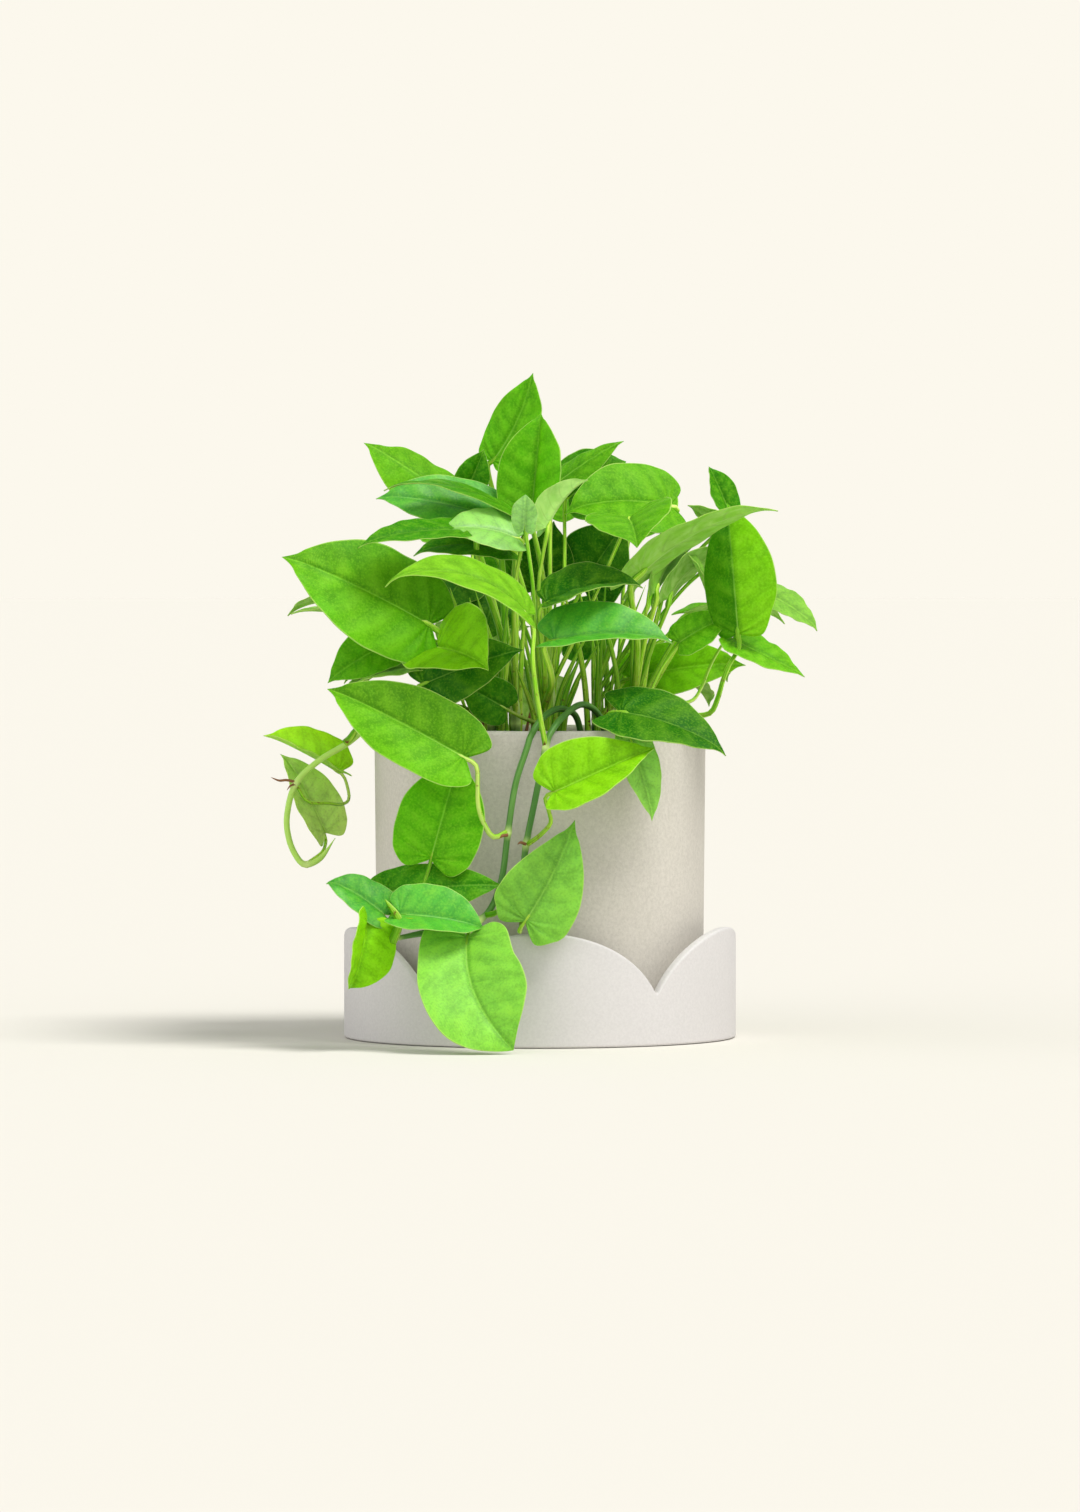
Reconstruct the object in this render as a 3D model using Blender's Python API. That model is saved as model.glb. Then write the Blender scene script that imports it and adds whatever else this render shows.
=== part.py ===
"""Potted jade pothos: a scalloped saucer, a cylinder planter, its soil and the leafy stems rooted in it.

Metres, +Z up. The origin is the centre of the saucer's underside, and the plant's front looks along -Y.
All sizes and places below are in millimetres, and are scaled to metres when the meshes are made.
"""

import math

import bmesh
import bpy
import numpy as np

MM = 0.001
GAP = 0.35  # left between neighbouring pieces

# Saucer: five round scallops, one at the front, with a narrow notch between each pair
SAUCER_RADIUS = 98.0
SAUCER_WALL = 5.0
SAUCER_FLOOR = 6.0
SAUCER_EDGE = 1.2  # width of the broken edges
SCALLOPS = 5
SCALLOP_PEAK = 55.9
SCALLOP_DEPTH = 49.0  # the scallop is the top of an ellipse this high
SCALLOP_REACH = 66.0  # and this long each way from its middle, along the wall
SCALLOP_COLUMNS = 18
NOTCH_CROWDING = 0.35  # 0 spaces the columns evenly, 1 gathers them at the notches

# Pot: a nearly straight cylinder with a drain hole
POT_BOTTOM_RADIUS = 81.4
POT_TOP_RADIUS = 82.8
POT_TOP = 154.3
POT_WALL = 6.2
POT_FLOOR = 8.0
POT_EDGE = 1.6
DRAIN_RADIUS = 6.0
POT_COLUMNS = 48
POT_BOTTOM = SAUCER_FLOOR + GAP

# Soil
SOIL_TOP = 145.0
SOIL_RINGS = (67.0, 54.0, 38.0, 20.0)
SOIL_RELIEF = 1.6
SOIL_FALL = 2.5  # how much lower its edge is than its middle
SOIL_BUMPS = ((0.19, 0.17), (0.31, 0.27))  # radians per millimetre along X and Y
SOIL_COLUMNS = 28
SOIL_EDGE = 1.0  # its edge against the pot is this much lower still
HOLE_SIDES = 8
HOLE_RISE = 10.0  # the tools that cut the holes reach this far over the soil
ROOT_DEPTH = 20.0  # how far a stem reaches into the soil
ROOT_STRAIGHT = (3.0, 8.0)  # it stays upright at these heights over the soil

# Leaf: a heart with a drawn-out tip, as (along the rib, out from the rib)
# in parts of its length and of its half width
OUTLINE = (
    (-0.05, 0.11), (-0.13, 0.52), (-0.02, 0.85), (0.20, 1.00),
    (0.44, 0.95), (0.66, 0.70), (0.85, 0.31), (1.00, 0.00),
)
LOBE_NARROWING = 0.35  # how much narrower a blade without lobes is at its stalk
VEIN_SLANT = 0.2  # how far a side vein runs towards the tip on its way to the edge
BLADE_THICKNESS = 0.7
RIB_BEHIND = -0.25  # the rib's curve is carried on this far behind the stalk, for the lobes
RIB_STEPS = 51
HOOK_FROM = 0.7  # where the tip's extra curl starts
EDGE_TURN = -12.0  # degrees that each half turns down again on the way to its edge
WAVE = 0.4
WAVE_TURNS = 1.5

# Stalks and stems
STEM_SIDES = 6
STEM_STEP = 8.0
FINE_STEPS = 400
CURVE_STEPS = 12
STALK_SIDES = 4
STALK_STEPS = 5  # one fewer on a plain leaf
STALK_RADIUS = (1.0, 1.6)  # at the blade and at the stem
# Handles of a free arc, outwards and upwards, in parts of its span
STALK_ARC = ((0.12, 0.45), (0.14, 0.26))
STALK_NECK = 0.13  # it widens into the blade's notch over this part of the blade's length
STALK_UNDER = 2.0  # from this far under the blade
STALK_CLEAR = 4.0  # places of its route closer to that point are passed over

SAUCER_COLOUR = (0.62, 0.58, 0.54)
POT_COLOUR = (0.55, 0.51, 0.46)
SOIL_COLOUR = (0.06, 0.04, 0.03)
LEAF_COLOUR = (0.10, 0.36, 0.03)


def leaf(
    base, tip, up, width, bend=20, fold=(12, 12), hook=20, twist=0, sway=0, full=1, lobes=1, stalk=(),
    plain=False
):
    """One leaf of the plan: where its blade starts and ends, where its upper face looks, and how it is bent.

    bend, hook, fold and twist are in degrees: the rib's arch, the extra curl of its tip, how far the left
    and right halves are folded up, and the turn about the rib from base to tip. sway is how far the rib
    bows to the blade's left, full under 1 gives a rounder blade, and lobes is how far it reaches back past
    its stalk. A plain blade has fewer faces.
    stalk holds the place on the stem that it springs from, and places that it passes through.
    """
    return {
        "base": base, "tip": tip, "up": up, "width": width, "bend": bend, "fold": fold, "hook": hook,
        "twist": twist, "sway": sway, "full": full, "lobes": lobes, "stalk": stalk, "plain": plain,
    }


# Each stem: where it stands in the soil, its route from there, its radius and its leaves
STEMS = {
    "vine_front_left": {
        "root": (20, -44),
        "route": [(17, -52, 162), (9, -68, 165), (1, -82, 160.5), (-4.5, -89, 152),
            (-6.3, -91, 146.5), (-12, -93, 128.5), (-15.6, -94.5, 105.4), (-19, -95, 81), (-26, -97.5, 65.5),
            (-38, -101, 59), (-54, -104, 57), (-70, -106, 54),
        ],
        "radius": 1.9,
        "leaves": [
            leaf((-37.5, -108, 142.5), (-103.8, -95, 175.1), (0.1, -1, 0.45), 44,
                 bend=14, fold=(14, 10), full=0.9,
                 stalk=((-15.6, -94.5, 105.4), (-21.5, -98, 102.5), (-27, -102, 109), (-30.5, -105.5, 122))),
            leaf((-53, -98, 93), (-39, -90, 141), (-0.1, -1, 0.1), 44, bend=16, fold=(8, 14), full=0.85,
                 stalk=((-48, -103, 57.5), (-58, -100, 72))),
            leaf((-76, -96, 76), (-17, -99, 79), (0, -0.88, 0.48), 27, bend=16, fold=(4, 0),
                 stalk=((-70, -106, 54), (-78, -98, 58), (-84, -92, 68))),
            leaf((-68, -113, 66), (-27, -110, 58.5), (0, -0.85, 0.52), 34,
                 bend=30, fold=(14, 44), full=0.8,
                 stalk=((-70, -106, 54), (-74, -108, 56))),
            leaf((-84, -116, 62), (-92.5, -117, 30.5), (0.35, -0.93, 0.05), 34,
                 bend=36, fold=(8, 62), hook=60, full=0.7,
                 stalk=((-70, -106, 54), (-77, -98, 56), (-85, -102, 61))),
            leaf((-76, -108, 66), (-104, -106, 80.5), (0.1, -0.75, 0.65), 25,
                 bend=36, fold=(20, 12), hook=60,
                 stalk=((-70, -106, 54), (-71, -101, 59))),
            leaf((-35.3, -113, 54.5), (-12.8, -140, 1.6), (0.05, -0.9, 0.4), 53,
                 bend=26, fold=(24, 16), sway=-8, full=0.55, lobes=0.8,
                 stalk=((-30, -99, 63), (-33, -105, 63))),
        ],
    },
    "vine_front_right": {
        "root": (32, -38),
        "route": [(28, -47, 163), (20, -64, 167), (11, -80, 161), (5.5, -88, 154),
            (2.9, -91, 147), (-2.4, -93, 121), (-6.8, -94.5, 99), (-8, -96, 86), (-8, -99, 74),
        ],
        "radius": 1.9,
        "leaves": [
            leaf((-6.3, -92, 211.5), (-75.4, -100, 224.8), (0, -0.4, 0.9), 42,
                 bend=76, hook=30, full=1.2, lobes=0.5,
                 stalk=((2.9, -91, 147), (-0.5, -93, 165), (-3.6, -94, 189))),
            leaf((7.5, -108, 125.4), (56, -100, 146.5), (0.0, -1, 0.2), 42, bend=16, fold=(2, 54), full=1.2,
                 stalk=((-6.8, -94.5, 99), (0, -100, 104), (5.5, -104, 111.5))),
            leaf((-6.8, -106, 63), (17, -100, 111.5), (0.05, -1, 0.2), 41,
                 bend=18, fold=(14, 8), sway=-2, full=1.4,
                 stalk=((-8, -99, 74), (-9.5, -99.2, 57.8))),
        ],
    },
    "vine_left": {
        "root": (-50, -8),
        "route": [(-58, -10, 162), (-74, -13, 164), (-84, -15, 157), (-95, -15.5, 147.5),
            (-110, -16, 138.3), (-121.6, -16, 126.9), (-126, -16, 111), (-125, -16, 99), (-121, -16, 90),
            (-116.6, -16, 86.5), (-109, -16, 90), (-102, -16, 99.7),
        ],
        "radius": 1.5,
        "leaves": [
            leaf((-101, 8, 132.5), (-138.5, 6, 150.3), (0.35, -0.7, 0.61), 40, bend=14, fold=(56, 4),
                 stalk=((-121.6, -16, 126.9), (-116, -15.5, 118), (-105, -12, 117), (-96, 3, 117))),
            leaf((-108, 4, 102.5), (-130, 6, 141), (0.61, -0.7, 0.34), 34, bend=16, fold=(28, 16),
                 stalk=((-116.6, -16, 86.5), (-109, -8, 92))),
        ],
    },
    "stem_left_low": {
        "root": (-24, -36),
        "route": [(-26, -38, 168)],
        "radius": 2.2,
        "leaves": [
            leaf((-55, -58, 206.6), (-126.6, -72, 239.5), (0.0, -0.85, 0.5), 58,
                 bend=18, fold=(8, 4), full=0.9,
                 stalk=((-26, -38, 168),)),
            leaf((-50, -60, 195), (-25, -92, 184), (-0.2, -0.3, 0.9), 50, bend=24, fold=(50, 6),
                 stalk=((-25.5, -37.5, 165), (-37, -46, 182))),
            leaf((-57, -50, 177), (-8, -66, 194), (0.1, -0.9, 0.4), 34, bend=20,
                 stalk=((-25, -37, 160), (-44, -36, 166), (-60, -36, 168))),
            leaf((-80, -42, 208), (-123, -50, 211.4), (0, -0.1, 1), 22, bend=24, plain=True,
                 stalk=((-26, -38, 168), (-48, -38, 196))),
            leaf((-72, -34, 198), (-105, -40, 177.2), (0.1, -0.8, 0.6), 28, bend=34, plain=True,
                 stalk=((-25, -37, 162), (-48, -34, 188))),
            leaf((-56, -36, 185), (-97.4, -44, 173.2), (0, -0.3, 1), 26, bend=34, plain=True,
                 stalk=((-24, -36, 157), (-40, -36, 176))),
        ],
    },
    "stem_left_high": {
        "root": (-12, -18),
        "route": [(-13, -20, 175)],
        "radius": 2.2,
        "leaves": [
            leaf((-45, 10, 269.7), (-88.5, 18, 297), (0.1, -0.9, 0.45), 35, bend=10, fold=(6, -24),
                 stalk=((-13, -20, 175), (-28, -6, 235))),
            leaf((-11, -38, 259.5), (-77.2, -42, 272.3), (0, -0.2, 1), 30, bend=50, fold=(6, 4), full=1.2,
                 stalk=((-13, -20, 172),)),
            leaf((-24.3, -24, 260), (-81.5, -24, 268.5), (0, -0.78, 0.62), 35, bend=28, fold=(14, 12),
                 stalk=((-13, -20, 175),)),
            leaf((-36.9, -60, 252.8), (-89, -82, 243.9), (0.1, -0.35, 0.93), 26,
                 bend=20, twist=-8, full=1.15,
                 stalk=((-12.5, -19, 168),)),
            leaf((-11.8, -58, 249), (-49.3, -60, 251.5), (0, -0.55, 0.8), 34, bend=42,
                 stalk=((-12.5, -19, 163), (-13, -46, 218))),
            leaf((-15.8, -42, 243), (-62.5, -46, 240), (0, -0.5, 0.9), 30, bend=40, plain=True,
                 stalk=((-12, -18, 158), (-13, -36, 215))),
        ],
    },
    "stem_centre": {
        "root": (6, 2),
        "route": [(5, 2, 178)],
        "radius": 2.2,
        "leaves": [
            leaf((-23.5, 8, 288), (-3.5, 2, 331.7), (-0.3, -0.95, 0.1), 27,
                 bend=-14, fold=(6, 16), hook=10, sway=-2.5, full=0.75, lobes=0.4,
                 stalk=((5, 2, 178), (-12, 6, 236))),
            leaf((-4, -20, 263), (0.5, -16, 311.4), (0.05, -1, 0.1), 38, bend=14, fold=(8, 56), full=0.85,
                 stalk=((5, 2, 174), (2, -10, 226))),
            leaf((-36.5, -5, 273), (-28, -7, 293.5), (0.3, -0.9, 0.1), 18, bend=14, fold=(8, 40), plain=True,
                 stalk=((5, 2, 170), (-16, 0, 226), (-30, -3, 256))),
            leaf((8.5, 22, 277), (42.2, 24, 298), (0.1, -0.8, 0.55), 19, bend=22, fold=(-24, 12), full=1.1,
                 stalk=((5, 2, 166), (5, 14, 228))),
            leaf((15, 34, 270), (43.5, 38, 288), (-0.1, -0.9, 0.4), 37, bend=18, full=0.8,
                 stalk=((6, 2, 160), (12, 22, 224))),
        ],
    },
    "stem_right_high": {
        "root": (28, 4),
        "route": [(29, 4, 178)],
        "radius": 2.2,
        "leaves": [
            leaf((63.8, -10, 265), (12.4, -28, 260.7), (0, -0.45, 0.9), 46, bend=34, fold=(-10, 40),
                 stalk=((29, 4, 178), (50, -2, 232))),
            leaf((95, 2, 261), (84.4, 4, 285), (0.2, -1, 0), 17, bend=20, fold=(50, 0), full=0.8, lobes=0.5,
                 stalk=((29, 4, 172), (70, 4, 232))),
            leaf((96, -2, 246), (73.7, -4, 265.5), (0.3, 0.5, 0.8), 22, bend=30, plain=True,
                 stalk=((29, 4, 166), (70, 6, 222))),
            leaf((46, 6, 179), (103, 2, 185.5), (0, -0.85, 0.5), 32, bend=30,
                 stalk=((28.5, 4, 158), (38, 6, 168))),
        ],
    },
    "stem_right": {
        "root": (46, -8),
        "route": [(47, -9, 172)],
        "radius": 2.2,
        "leaves": [
            leaf((49.5, -46, 232), (116.9, -66, 262.1), (-0.3, 0.5, 0.8), 26,
                 bend=42, full=1.2, lobes=1.6,
                 stalk=((47, -9, 172), (48, -36, 200))),
            leaf((57, -28, 223), (92, -17, 252), (-0.35, 0.45, 0.8), 30, bend=70, plain=True,
                 stalk=((47, -9, 168), (52, -26, 198))),
            leaf((63.6, -22, 219.5), (98, -18, 242), (-0.35, 0.45, 0.8), 25, bend=70, plain=True,
                 stalk=((46.5, -8.5, 164), (56, -20, 196))),
            leaf((85.5, -18, 216), (72, -24, 242.5), (0.8, -0.3, 0.4), 15,
                 bend=20, fold=(30, 30), plain=True,
                 stalk=((46, -8, 160), (68, -16, 200))),
            leaf((112, -12, 222), (138, -16, 202.8), (0.5, -0.6, 0.6), 22, bend=26,
                 stalk=((46, -8, 157), (76, -10, 206), (98, -11, 220))),
        ],
    },
    "vine_right": {
        "root": (48, -30),
        "route": [(51, -35, 166), (58, -40, 170), (67, -44, 167), (76, -45, 161)],
        "radius": 2.0,
        "leaves": [
            leaf((97.8, -46, 201.8), (92.5, -32, 266.5), (0, -1, 0.2), 42,
                 bend=18, fold=(-42, 4), full=0.75, lobes=0.25,
                 stalk=((76, -45, 161), (84, -47, 162.5), (88.5, -48, 172), (92, -49, 184))),
            leaf((96.5, -36, 198.5), (131, -40, 180.2), (0.2, -0.75, 0.65), 28,
                 bend=16, sway=-1.5, fold=(-8, 28), full=1.1,
                 stalk=((67, -44, 167), (77, -40, 170), (85, -32, 187))),
            leaf((69.4, -34, 197.5), (95, -30, 209.5), (-0.2, -0.8, 0.6), 23, bend=30,
                 stalk=((53, -35, 169), (60, -34, 184))),
        ],
    },
    "stem_front_right": {
        "root": (38, -54),
        "route": [(37, -59, 158)],
        "radius": 1.8,
        "leaves": [
            leaf((40, -87, 163.7), (90.7, -92, 142.4), (0.1, -0.55, 0.8), 45,
                 bend=34, fold=(12, 10), full=1.3, lobes=1.6,
                 stalk=((37, -59, 158), (36, -68, 160), (33, -78, 160))),
            leaf((44, -88, 151), (54.7, -90, 110.6), (0.45, -0.9, 0.2), 21,
                 bend=20, fold=(16, 16), plain=True,
                 stalk=((37.5, -57, 155), (40, -76, 159), (41, -86, 157))),
        ],
    },
    "stem_front": {
        "root": (2, -32),
        "route": [(2, -36, 170)],
        "radius": 2.2,
        "leaves": [
            leaf((3.4, -66, 217), (50.6, -62, 224.3), (0, -0.4, 0.9), 39, bend=42, fold=(22, 24), lobes=0.4,
                 stalk=((2, -36, 170), (2.4, -60, 184))),
            leaf((7.3, -78, 198.3), (65.1, -79, 196.9), (0, -0.5, 0.87), 42, bend=30, fold=(30, 28),
                 stalk=((2, -35, 165), (6, -68, 180))),
            leaf((43.9, -52, 258.3), (47.5, -80, 243.9), (0.1, -0.45, 0.9), 46, bend=24, fold=(40, 8),
                 stalk=((2, -36, 168), (26, -46, 218))),
            leaf((3, -66, 254), (23.5, -62, 277.4), (-0.3, 0.5, 0.85), 21,
                 bend=40, fold=(50, 50), plain=True,
                 stalk=((2, -36, 170), (-1, -58, 220))),
            leaf((-7.5, -77, 253), (-7, -78, 270), (-0.2, -0.95, 0.2), 13, bend=24, full=0.6, plain=True,
                 stalk=((2, -34, 162), (-3, -68, 212), (-4, -76, 238))),
            leaf((-17, -52, 165), (-39, -48, 177), (0, -1, 0.2), 24, bend=16, plain=True,
                 stalk=((2, -32, 156), (-8, -46, 160))),
        ],
    },
    "stem_back_left": {
        "root": (-30, 20),
        "route": [(-32, 22, 168)],
        "radius": 2.2,
        "leaves": [
            leaf((-72, 34, 214), (-128, 52, 210), (-0.2, 0.1, 1), 46, bend=44, stalk=((-32, 22, 168),)),
            leaf((-58, 58, 230), (-92, 98, 222), (-0.2, 0.3, 1), 48, bend=46, stalk=((-32, 22, 166),)),
            leaf((-62, 58, 190), (-92, 92, 172), (-0.5, 0.4, 0.8), 44, bend=40, plain=True,
                 stalk=((-31, 21, 162),)),
            leaf((-36, 46, 246), (-60, 76, 252), (-0.2, -0.1, 1), 42, bend=46, stalk=((-32, 22, 168),)),
            leaf((-22, 10, 224), (-30, 2, 196), (0.1, -1, 0.2), 30, bend=20, plain=True,
                 stalk=((-32, 22, 166), (-28, 26, 200), (-22, 22, 222))),
            leaf((-36, 8, 232), (-50, -6, 212), (-0.1, -0.9, 0.4), 30,
                 bend=24, plain=True, stalk=((-32, 22, 168),)),
            leaf((-70, 24, 186), (-99, 36, 176), (-0.5, 0.1, 0.8), 34, bend=36, plain=True,
                 stalk=((-31, 21, 158),)),
        ],
    },
    "stem_back": {
        "root": (2, 36),
        "route": [(2, 38, 174)],
        "radius": 2.2,
        "leaves": [
            leaf((-6, 72, 240), (-14, 124, 234), (0, 0.2, 1), 50, bend=50, stalk=((2, 38, 174),)),
            leaf((2, 60, 262), (10, 96, 284), (0, -0.3, 1), 44, bend=46, stalk=((2, 38, 172),)),
            leaf((-24, 78, 204), (-46, 122, 184), (-0.1, 0.5, 0.9), 46,
                 bend=44, plain=True, stalk=((2, 37, 166),)),
            leaf((18, 80, 208), (26, 130, 196), (0.1, 0.4, 0.9), 46, bend=44, stalk=((2, 37, 168),)),
            leaf((-2, 88, 178), (-8, 118, 150), (0, 0.8, 0.6), 38,
                 bend=30, plain=True, stalk=((2, 36, 160),)),
            leaf((22, 36, 226), (44, 28, 257), (-0.3, -0.9, 0.2), 42,
                 bend=20, plain=True, stalk=((2, 38, 174),)),
            leaf((-1, 40, 224), (7, 34, 258), (0.2, -1, 0.1), 32,
                 bend=20, plain=True, stalk=((2, 38, 170),)),
            leaf((14, 50, 200), (48, 46, 210), (0.1, -0.85, 0.4), 34, bend=30, plain=True,
                 stalk=((2, 37, 160), (4, 48, 180), (8, 55, 192))),
            leaf((-13, 38, 230), (-27, 32, 252), (0.1, -1, 0.1), 24, bend=16, plain=True,
                 stalk=((2, 36, 158), (-8, 42, 200))),
        ],
    },
    "stem_back_right": {
        "root": (36, 30),
        "route": [(38, 32, 168)],
        "radius": 2.2,
        "leaves": [
            leaf((76, 36, 212), (124, 48, 206), (0.2, 0.1, 1), 44, bend=46, stalk=((38, 32, 168),)),
            leaf((62, 62, 232), (92, 102, 228), (0.2, 0.3, 1), 48, bend=46, stalk=((38, 32, 166),)),
            leaf((66, 60, 192), (96, 90, 176), (0.5, 0.4, 0.8), 44, bend=40, stalk=((37, 31, 162),)),
            leaf((46, 48, 254), (66, 74, 272), (0.1, -0.1, 1), 40, bend=46, stalk=((38, 32, 168),)),
            leaf((62, 36, 184), (86, 58, 164), (0.5, 0.1, 0.8), 36, bend=36, plain=True,
                 stalk=((37, 31, 158),)),
        ],
    },
}


def unit(vector):
    return vector / np.linalg.norm(vector)


def rib_of(plan):
    """The blade's rib: places, side directions and outward directions at even steps along it."""
    base, tip, up = (np.array(plan[key], float) for key in ("base", "tip", "up"))
    chord = tip - base
    forward = unit(chord)
    out = unit(up - forward * (up @ forward))
    side = np.cross(out, forward)
    steps = np.linspace(RIB_BEHIND, 1, RIB_STEPS)
    hooked = np.clip((steps - HOOK_FROM) / (1 - HOOK_FROM), 0, None) ** 2
    turn = math.radians(plan["bend"]) * (0.5 - steps) - math.radians(plan["hook"]) * hooked
    slices = np.diff(steps)
    run = np.concatenate([[0], np.cumsum((np.cos(turn[1:]) + np.cos(turn[:-1])) / 2 * slices)])
    rise = np.concatenate([[0], np.cumsum((np.sin(turn[1:]) + np.sin(turn[:-1])) / 2 * slices)])
    run -= np.interp(0, steps, run)
    rise -= np.interp(0, steps, rise)
    lean = math.atan2(rise[-1], run[-1])
    scale = np.linalg.norm(chord) / math.hypot(run[-1], rise[-1])
    ahead = scale * (run * math.cos(lean) + rise * math.sin(lean))
    above = scale * (rise * math.cos(lean) - run * math.sin(lean))
    turn = (turn - lean)[:, None]
    bow = plan["sway"] * 4 * steps * (1 - steps)
    places = base + ahead[:, None] * forward + above[:, None] * out + bow[:, None] * side
    outward = out * np.cos(turn) - forward * np.sin(turn)
    onward = forward * np.cos(turn) + out * np.sin(turn)
    swing = np.arctan(plan["sway"] * 4 * (1 - 2 * steps) / np.linalg.norm(chord))[:, None]
    across = side * np.cos(swing) - onward * np.sin(swing)
    twist = math.radians(plan["twist"]) * np.clip(steps, 0, 1)[:, None]
    sides = across * np.cos(twist) + outward * np.sin(twist)
    return steps, places, sides, outward * np.cos(twist) - across * np.sin(twist)


def blade_places(plan, along, across):
    """Places on the blade's middle surface, and its normals there, for flat leaf coordinates."""
    steps, places, sides, outs = rib_of(plan)
    along, across = np.asarray(along, float), np.asarray(across, float)
    place, side, out = (
        np.stack([np.interp(along, steps, rows[:, axis]) for axis in range(3)], axis=1)
        for rows in (places, sides, outs)
    )
    half = plan["width"] / 2
    far = np.abs(across) * half
    left, right = plan["fold"]
    start = np.radians(np.where(across > 0, left, right))
    rate = math.radians(EDGE_TURN) / half
    angle = start + rate * far
    reach = (np.sin(angle) - np.sin(start)) / rate * np.sign(across)
    lift = (np.cos(start) - np.cos(angle)) / rate
    phase = plan["base"][0] + np.where(across > 0, 0, 2)
    lift += WAVE * across**2 * np.sin(math.tau * WAVE_TURNS * along + phase)
    slope = np.where(across == 0, 0, angle)[:, None]
    normal = out * np.cos(slope) - side * np.sin(slope) * np.sign(across)[:, None]
    return place + side * reach[:, None] + out * lift[:, None], normal


def shaped_outline(plan):
    """The outline of one leaf: drawn back or in at its lobes, and filled out towards its tip."""
    narrowed = 1 - LOBE_NARROWING * max(0, 1 - plan["lobes"])
    return [
        (along**plan["full"], across) if along > 0 else (along * plan["lobes"], across * narrowed)
        for along, across in OUTLINE
    ]


def blade_grid(columns, outline):
    """Flat leaf coordinates and triangles of a whole blade, and the loop of points round its edge."""
    flat, triangles = [], []

    def point(along, across):
        if (along, across) not in flat:
            flat.append((along, across))
        return flat.index((along, across))

    edges = []
    for hand in (1, -1):
        rows = []
        for along, across in outline:
            rib = max(0.0, along - VEIN_SLANT * across) if across else along
            shares = [column / columns for column in range(columns + 1)]
            rows.append([point(rib + (along - rib) * share, hand * across * share) for share in shares])
        for near, far in zip(rows, rows[1:]):
            for column in range(columns):
                a, b, c, d = near[column], near[column + 1], far[column + 1], far[column]
                for corners in ((a, b, c), (a, c, d)):
                    if len(set(corners)) == 3:
                        triangles.append(corners[::hand])
        edges.append(rows[0] + [row[-1] for row in rows[1:]])
    return np.array(flat), triangles, edges[0] + edges[1][-2:0:-1]


def smooth_route(points, step_count):
    """Even steps along a smooth curve through the points."""
    points = np.array(points, float)
    if len(points) == 2:
        return points[0] + np.linspace(0, 1, step_count + 1)[:, None] * (points[1] - points[0])
    ends = np.concatenate([[2 * points[0] - points[1]], points, [2 * points[-1] - points[-2]]])
    fine = []
    for before, start, end, after in zip(ends, ends[1:], ends[2:], ends[3:]):
        for share in np.arange(CURVE_STEPS) / CURVE_STEPS:
            fine.append(
                0.5 * (2 * start + (end - before) * share
                       + (2 * before - 5 * start + 4 * end - after) * share**2
                       + (3 * start - before - 3 * end + after) * share**3)
            )
    fine = np.array(fine + [points[-1]])
    lengths = np.concatenate([[0], np.cumsum(np.linalg.norm(np.diff(fine, axis=0), axis=1))])
    wanted = np.linspace(0, lengths[-1], step_count + 1)
    return np.stack([np.interp(wanted, lengths, fine[:, axis]) for axis in range(3)], axis=1)


def tube_rings(route, radii, sides, across=(1.0, 0.3, 0.1)):
    """The points of a tube round the route and its side faces, starting from a direction across it."""
    across = np.array(across)
    points, faces = [], []
    for place, tangent, radius in zip(route, np.gradient(route, axis=0), radii):
        tangent = unit(tangent)
        across = unit(across - tangent * (across @ tangent))
        other = np.cross(tangent, across)
        for side in range(sides):
            turn = math.tau * side / sides
            points.append(place + radius * (across * math.cos(turn) + other * math.sin(turn)))
    for ring in range(len(route) - 1):
        for side in range(sides):
            a, b = ring * sides + side, ring * sides + (side + 1) % sides
            faces.append((a, b, b + sides, a + sides))
    return np.array(points), faces


def tube_solid(route, radii, sides):
    """A closed tube round the route, with a radius for each of its points."""
    points, faces = tube_rings(route, radii, sides)
    faces.append(tuple(range(sides))[::-1])
    faces.append(tuple(range(len(points) - sides, len(points))))
    return points, faces


def stem_places(stem):
    """The stem's route with its upright start in the soil."""
    x, y = stem["root"]
    heights = (SOIL_TOP - ROOT_DEPTH, *(SOIL_TOP + height for height in ROOT_STRAIGHT))
    return np.array([*((x, y, height) for height in heights), *stem["route"]], float)


def stem_route(stem):
    places = stem_places(stem)
    length = np.linalg.norm(np.diff(places, axis=0), axis=1).sum()
    return smooth_route(places, max(4, round(length / STEM_STEP)))


def stalk_route(plan, stem_line):
    """The leaf stalk's route from the blade's notch to the stem, through its own places or in a free arc."""
    start = np.array(plan["stalk"][0], float)
    start = stem_line[np.argmin(np.linalg.norm(stem_line - start, axis=1))]
    base = np.array(plan["base"], float)
    through = [np.array(place, float) for place in plan["stalk"][1:]]
    if not through:
        span = base - start
        reach = np.linalg.norm(span)
        level = unit(span * (1, 1, 0))
        (out_first, up_first), (out_last, up_last) = STALK_ARC
        first = start + (level * out_first + (0, 0, up_first)) * reach
        last = base - (level * out_last + (0, 0, up_last)) * reach
        through = [
            start * (1 - s) ** 3 + 3 * first * s * (1 - s) ** 2 + 3 * last * s**2 * (1 - s) + base * s**3
            for s in (0.25, 0.5, 0.75)
        ]
    steps, places, _, outs = rib_of(plan)
    place, out = (
        np.array([np.interp(-STALK_NECK, steps, rows[:, axis]) for axis in range(3)])
        for rows in (places, outs)
    )
    neck = place - out * STALK_UNDER
    through = [place for place in through if np.linalg.norm(place - neck) > STALK_CLEAR]
    return smooth_route([neck, *through[::-1], start], STALK_STEPS - plan["plain"])


def fine_line(stem):
    """Close points along the stem, for finding where a stalk springs from it."""
    return smooth_route(stem_places(stem), FINE_STEPS)


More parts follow.
